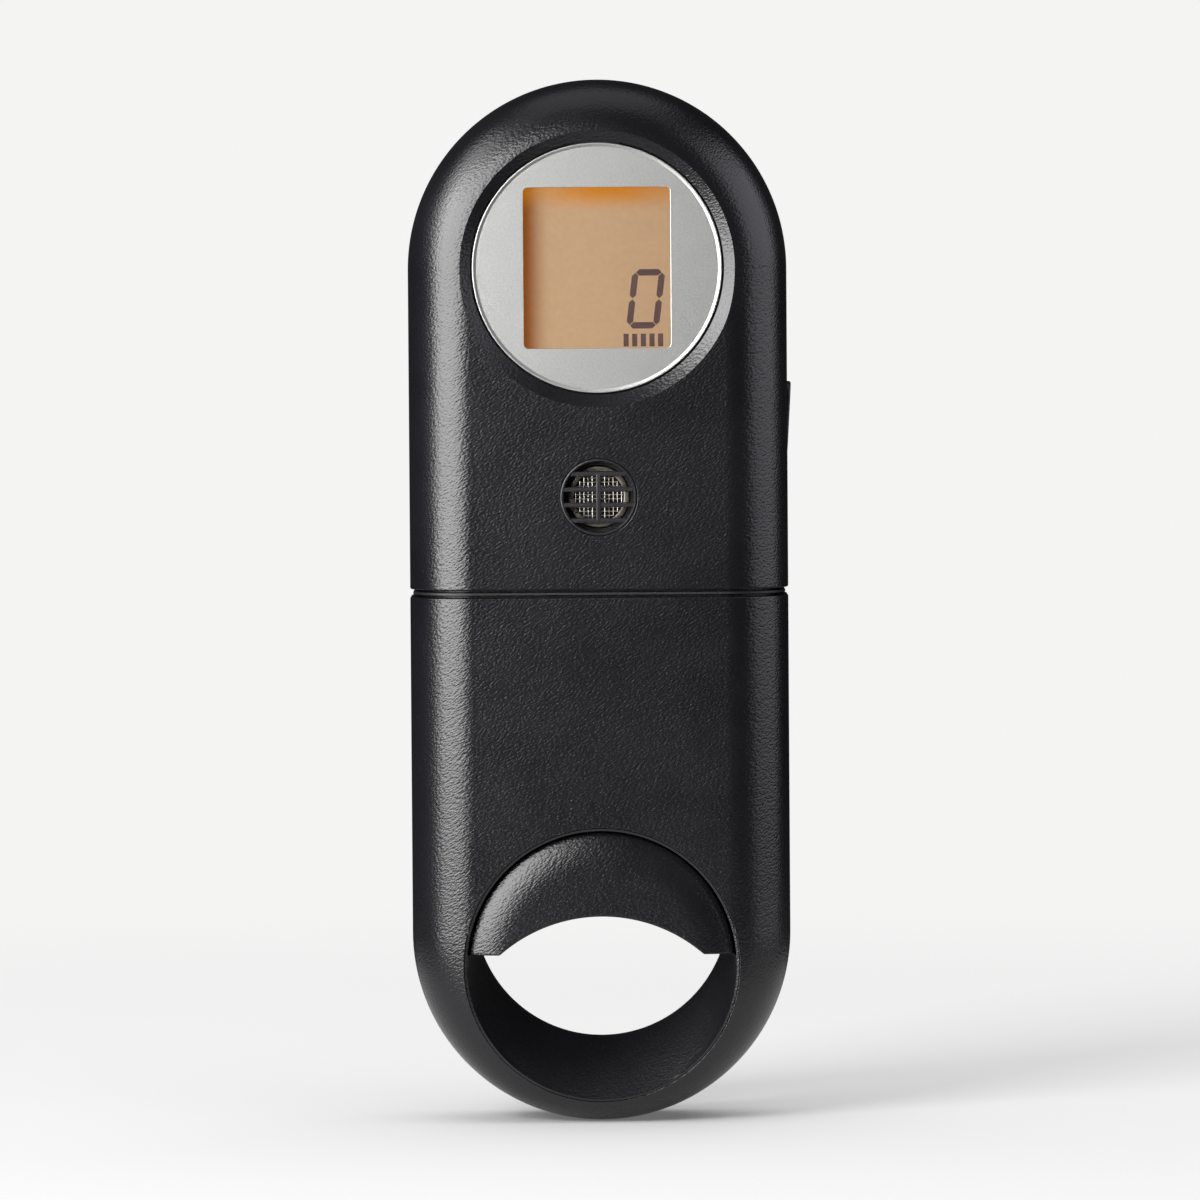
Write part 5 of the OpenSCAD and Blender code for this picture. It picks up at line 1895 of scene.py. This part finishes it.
@dataclass
class Studio:
    """Camera, lights, floor and background."""

    distance: float = 1.3
    eye_z: float = 127 * MM
    eye_x: float = 0.1 * MM
    pitch_deg: float = 2.18
    roll_deg: float = -0.40
    lens: float = 260.8
    sensor: float = 36.0
    paper: float = 0.80
    floor_lift: float = 0.15
    fade_from: float = 0.12
    fade_to: float = 0.45
    bounce_from: float = 0.05
    bounce_to: float = 0.22
    ambient: float = 0.03

    def camera(self) -> None:
        """Places the camera in front of the object."""
        data = bpy.data.cameras.new("camera")
        data.lens = self.lens
        data.sensor_width = self.sensor
        data.clip_start = 0.05
        camera = bpy.data.objects.new("camera", data)
        bpy.context.scene.collection.objects.link(camera)
        turn = Matrix.Rotation(math.radians(90 - self.pitch_deg), 4, "X")
        roll = Matrix.Rotation(math.radians(self.roll_deg), 4, "Z")
        eye = Matrix.Translation((self.eye_x, -self.distance, self.eye_z))
        camera.matrix_world = eye @ turn @ roll
        bpy.context.scene.camera = camera

    def light(self, name: str, place: Point, target: Point, size: Pair, power: float,
              tint: Colour = (1.0, 1.0, 1.0)) -> bpy.types.Object:
        """Adds a soft rectangular light.

        Args:
            name: The light's name.
            place: Where it stands.
            target: What it faces.
            size: Its width and height.
            power: Its power in watts.
            tint: Its colour.

        Returns:
            The light.
        """
        data = bpy.data.lights.new(name, "AREA")
        data.shape = "RECTANGLE"
        data.size, data.size_y = size
        data.energy = power
        data.color = tint
        lamp = bpy.data.objects.new(name, data)
        lamp.visible_camera = False
        bpy.context.scene.collection.objects.link(lamp)
        way = Vector(target) - Vector(place)
        turn = way.to_track_quat("-Z", "Y").to_matrix().to_4x4()
        lamp.matrix_world = Matrix.Translation(place) @ turn
        return lamp

    @staticmethod
    def direction(azimuth: float, elevation: float) -> Vector:
        """Unit direction from the object, in degrees right of the front and above level."""
        a, e = math.radians(azimuth), math.radians(elevation)
        return Vector((math.sin(a) * math.cos(e), -math.cos(a) * math.cos(e), math.sin(e)))

    def share_lights(self, floor: bpy.types.Object, for_object: Sequence[bpy.types.Object],
                     for_floor: Sequence[bpy.types.Object]) -> None:
        """Keeps the floor's light off the object, and the object's lights off the floor.

        Args:
            floor: The floor.
            for_object: Lights that only the object receives.
            for_floor: Lights that only the floor receives.
        """
        only_floor = bpy.data.collections.new("only_floor")
        only_floor.objects.link(floor)
        for lamp in for_floor:
            lamp.light_linking.receiver_collection = only_floor
        not_floor = bpy.data.collections.new("not_floor")
        not_floor.objects.link(floor)
        not_floor.collection_objects[0].light_linking.link_state = "EXCLUDE"
        for lamp in for_object:
            lamp.light_linking.receiver_collection = not_floor

    def floor(self) -> bpy.types.Object:
        """Adds the pale floor, which melts into the background away from the object."""
        half = 6.0
        points = [(-half, -half, 0.0), (half, -half, 0.0), (half, half, 0.0), (-half, half, 0.0)]
        mesh = bpy.data.meshes.new("floor")
        mesh.from_pydata(points, [], [(0, 1, 2, 3)])
        floor = bpy.data.objects.new("floor", mesh)
        bpy.context.scene.collection.objects.link(floor)
        paper = bpy.data.materials.new("studio_paper")
        paper.use_nodes = True
        bench = NodeBench(paper.node_tree)
        shader = paper.node_tree.nodes["Principled BSDF"]
        shader.inputs["Base Color"].default_value = (*grey(self.paper), 1.0)
        shader.inputs["Roughness"].default_value = 0.95
        shader.inputs["Specular IOR Level"].default_value = 0.0
        place = bench.place()
        away = bench.add("ShaderNodeVectorMath", {0: place}, operation="LENGTH").outputs["Value"]
        seen = bench.add("ShaderNodeLightPath").outputs["Is Camera Ray"]
        lift = bench.add("ShaderNodeEmission", {"Color": (*BACKGROUND, 1.0),
                                                "Strength": self.floor_lift})
        near = bench.add("ShaderNodeAddShader", {0: shader.outputs["BSDF"],
                                                 1: lift.outputs["Emission"]})
        far = bench.add("ShaderNodeEmission", {"Color": (*BACKGROUND, 1.0), "Strength": 1.0})
        fade = bench.spread(away, self.fade_from, self.fade_to)
        shown = bench.add("ShaderNodeMixShader", {0: fade, 1: near.outputs["Shader"],
                                                  2: far.outputs["Emission"]})
        dark = bench.add("ShaderNodeBsdfDiffuse", {"Color": (*grey(0.02), 1.0)})
        bounce = bench.spread(away, self.bounce_from, self.bounce_to)
        dimmed = bench.add("ShaderNodeMixShader", {0: bounce, 1: near.outputs["Shader"],
                                                 2: dark.outputs["BSDF"]})
        mixed = bench.add("ShaderNodeMixShader", {0: seen, 1: dimmed.outputs["Shader"],
                                                  2: shown.outputs["Shader"]})
        output = paper.node_tree.nodes["Material Output"]
        paper.node_tree.links.new(mixed.outputs["Shader"], output.inputs["Surface"])
        mesh.materials.append(paper)
        return floor

    def world(self) -> None:
        """Sets the background that the camera sees and the weak light all round."""
        world = bpy.data.worlds.new("studio")
        world.use_nodes = True
        bench = NodeBench(world.node_tree)
        around = world.node_tree.nodes["Background"]
        around.inputs["Color"].default_value = (1.0, 1.0, 1.0, 1.0)
        around.inputs["Strength"].default_value = self.ambient
        shown = bench.add("ShaderNodeBackground", {"Color": (*BACKGROUND, 1.0), "Strength": 1.0})
        seen = bench.add("ShaderNodeLightPath").outputs["Is Camera Ray"]
        mixed = bench.add("ShaderNodeMixShader", {0: seen, 1: around.outputs[0],
                                                  2: shown.outputs[0]})
        output = world.node_tree.nodes["World Output"]
        world.node_tree.links.new(mixed.outputs["Shader"], output.inputs["Surface"])
        bpy.context.scene.world = world

    def build(self) -> None:
        """Builds the studio."""
        self.camera()
        floor = self.floor()
        self.world()
        middle = Vector((0.0, 0.0, 80 * MM))
        key = middle + 0.38 * self.direction(-44, 14)
        upper = middle + 0.7 * self.direction(-70, 36)
        side = middle + 0.80 * self.direction(77, 18)
        far = middle + 1.2 * self.direction(-38, 28)
        lamps = [self.light("key", key, middle, (0.35, 0.32), 4.0),
                 self.light("upper", upper, middle, (0.42, 0.42), 2.4),
                 self.light("top", (0.0, 0.0, 1.1), middle, (0.9, 0.9), 1.6),
                 self.light("side", side, middle, (0.86, 0.86), 4.4, (0.93, 0.92, 1.0))]
        floor_lamps = [self.light("floor_light", far, middle, (0.5, 0.5), 8.0),
                       self.light("overhead", (0.0, 0.0, 1.5), middle, (3.0, 3.0), 35.5)]
        self.share_lights(floor, lamps, floor_lamps)
        bpy.context.scene.view_settings.view_transform = "Standard"


# ---- Main -----------------------------------------------------------------


def main() -> None:
    """Builds the whole visual model and its studio."""
    logging.basicConfig(level=logging.INFO, format="%(name)s %(message)s")
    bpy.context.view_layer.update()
    Studio().build()
    form = CasingForm(half_w=-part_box("upper_front_shell")[0].x,
                      half_t=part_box("upper_rear_shell")[1].y,
                      height=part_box("upper_front_shell")[1].z)
    finishes = FinishSet()
    shop = Workshop(form, finishes)
    rows, weave, coils = rows_tree(), weave_tree(), coil_tree()
    Housings(shop).build()
    Display(shop).build()
    Sounder(shop).build(rows, weave)
    SideButton(shop).build()
    FingerRing(shop).build()
    Trigger(shop).build()
    Springs(shop).build(coils)
    BatteryDoor(shop).build(rows)
    Cells(shop).build()
    dress_kept_nodes(finishes)
    LOG.info("%d new pieces", shop.count)


if __name__ == "__main__":
    main()
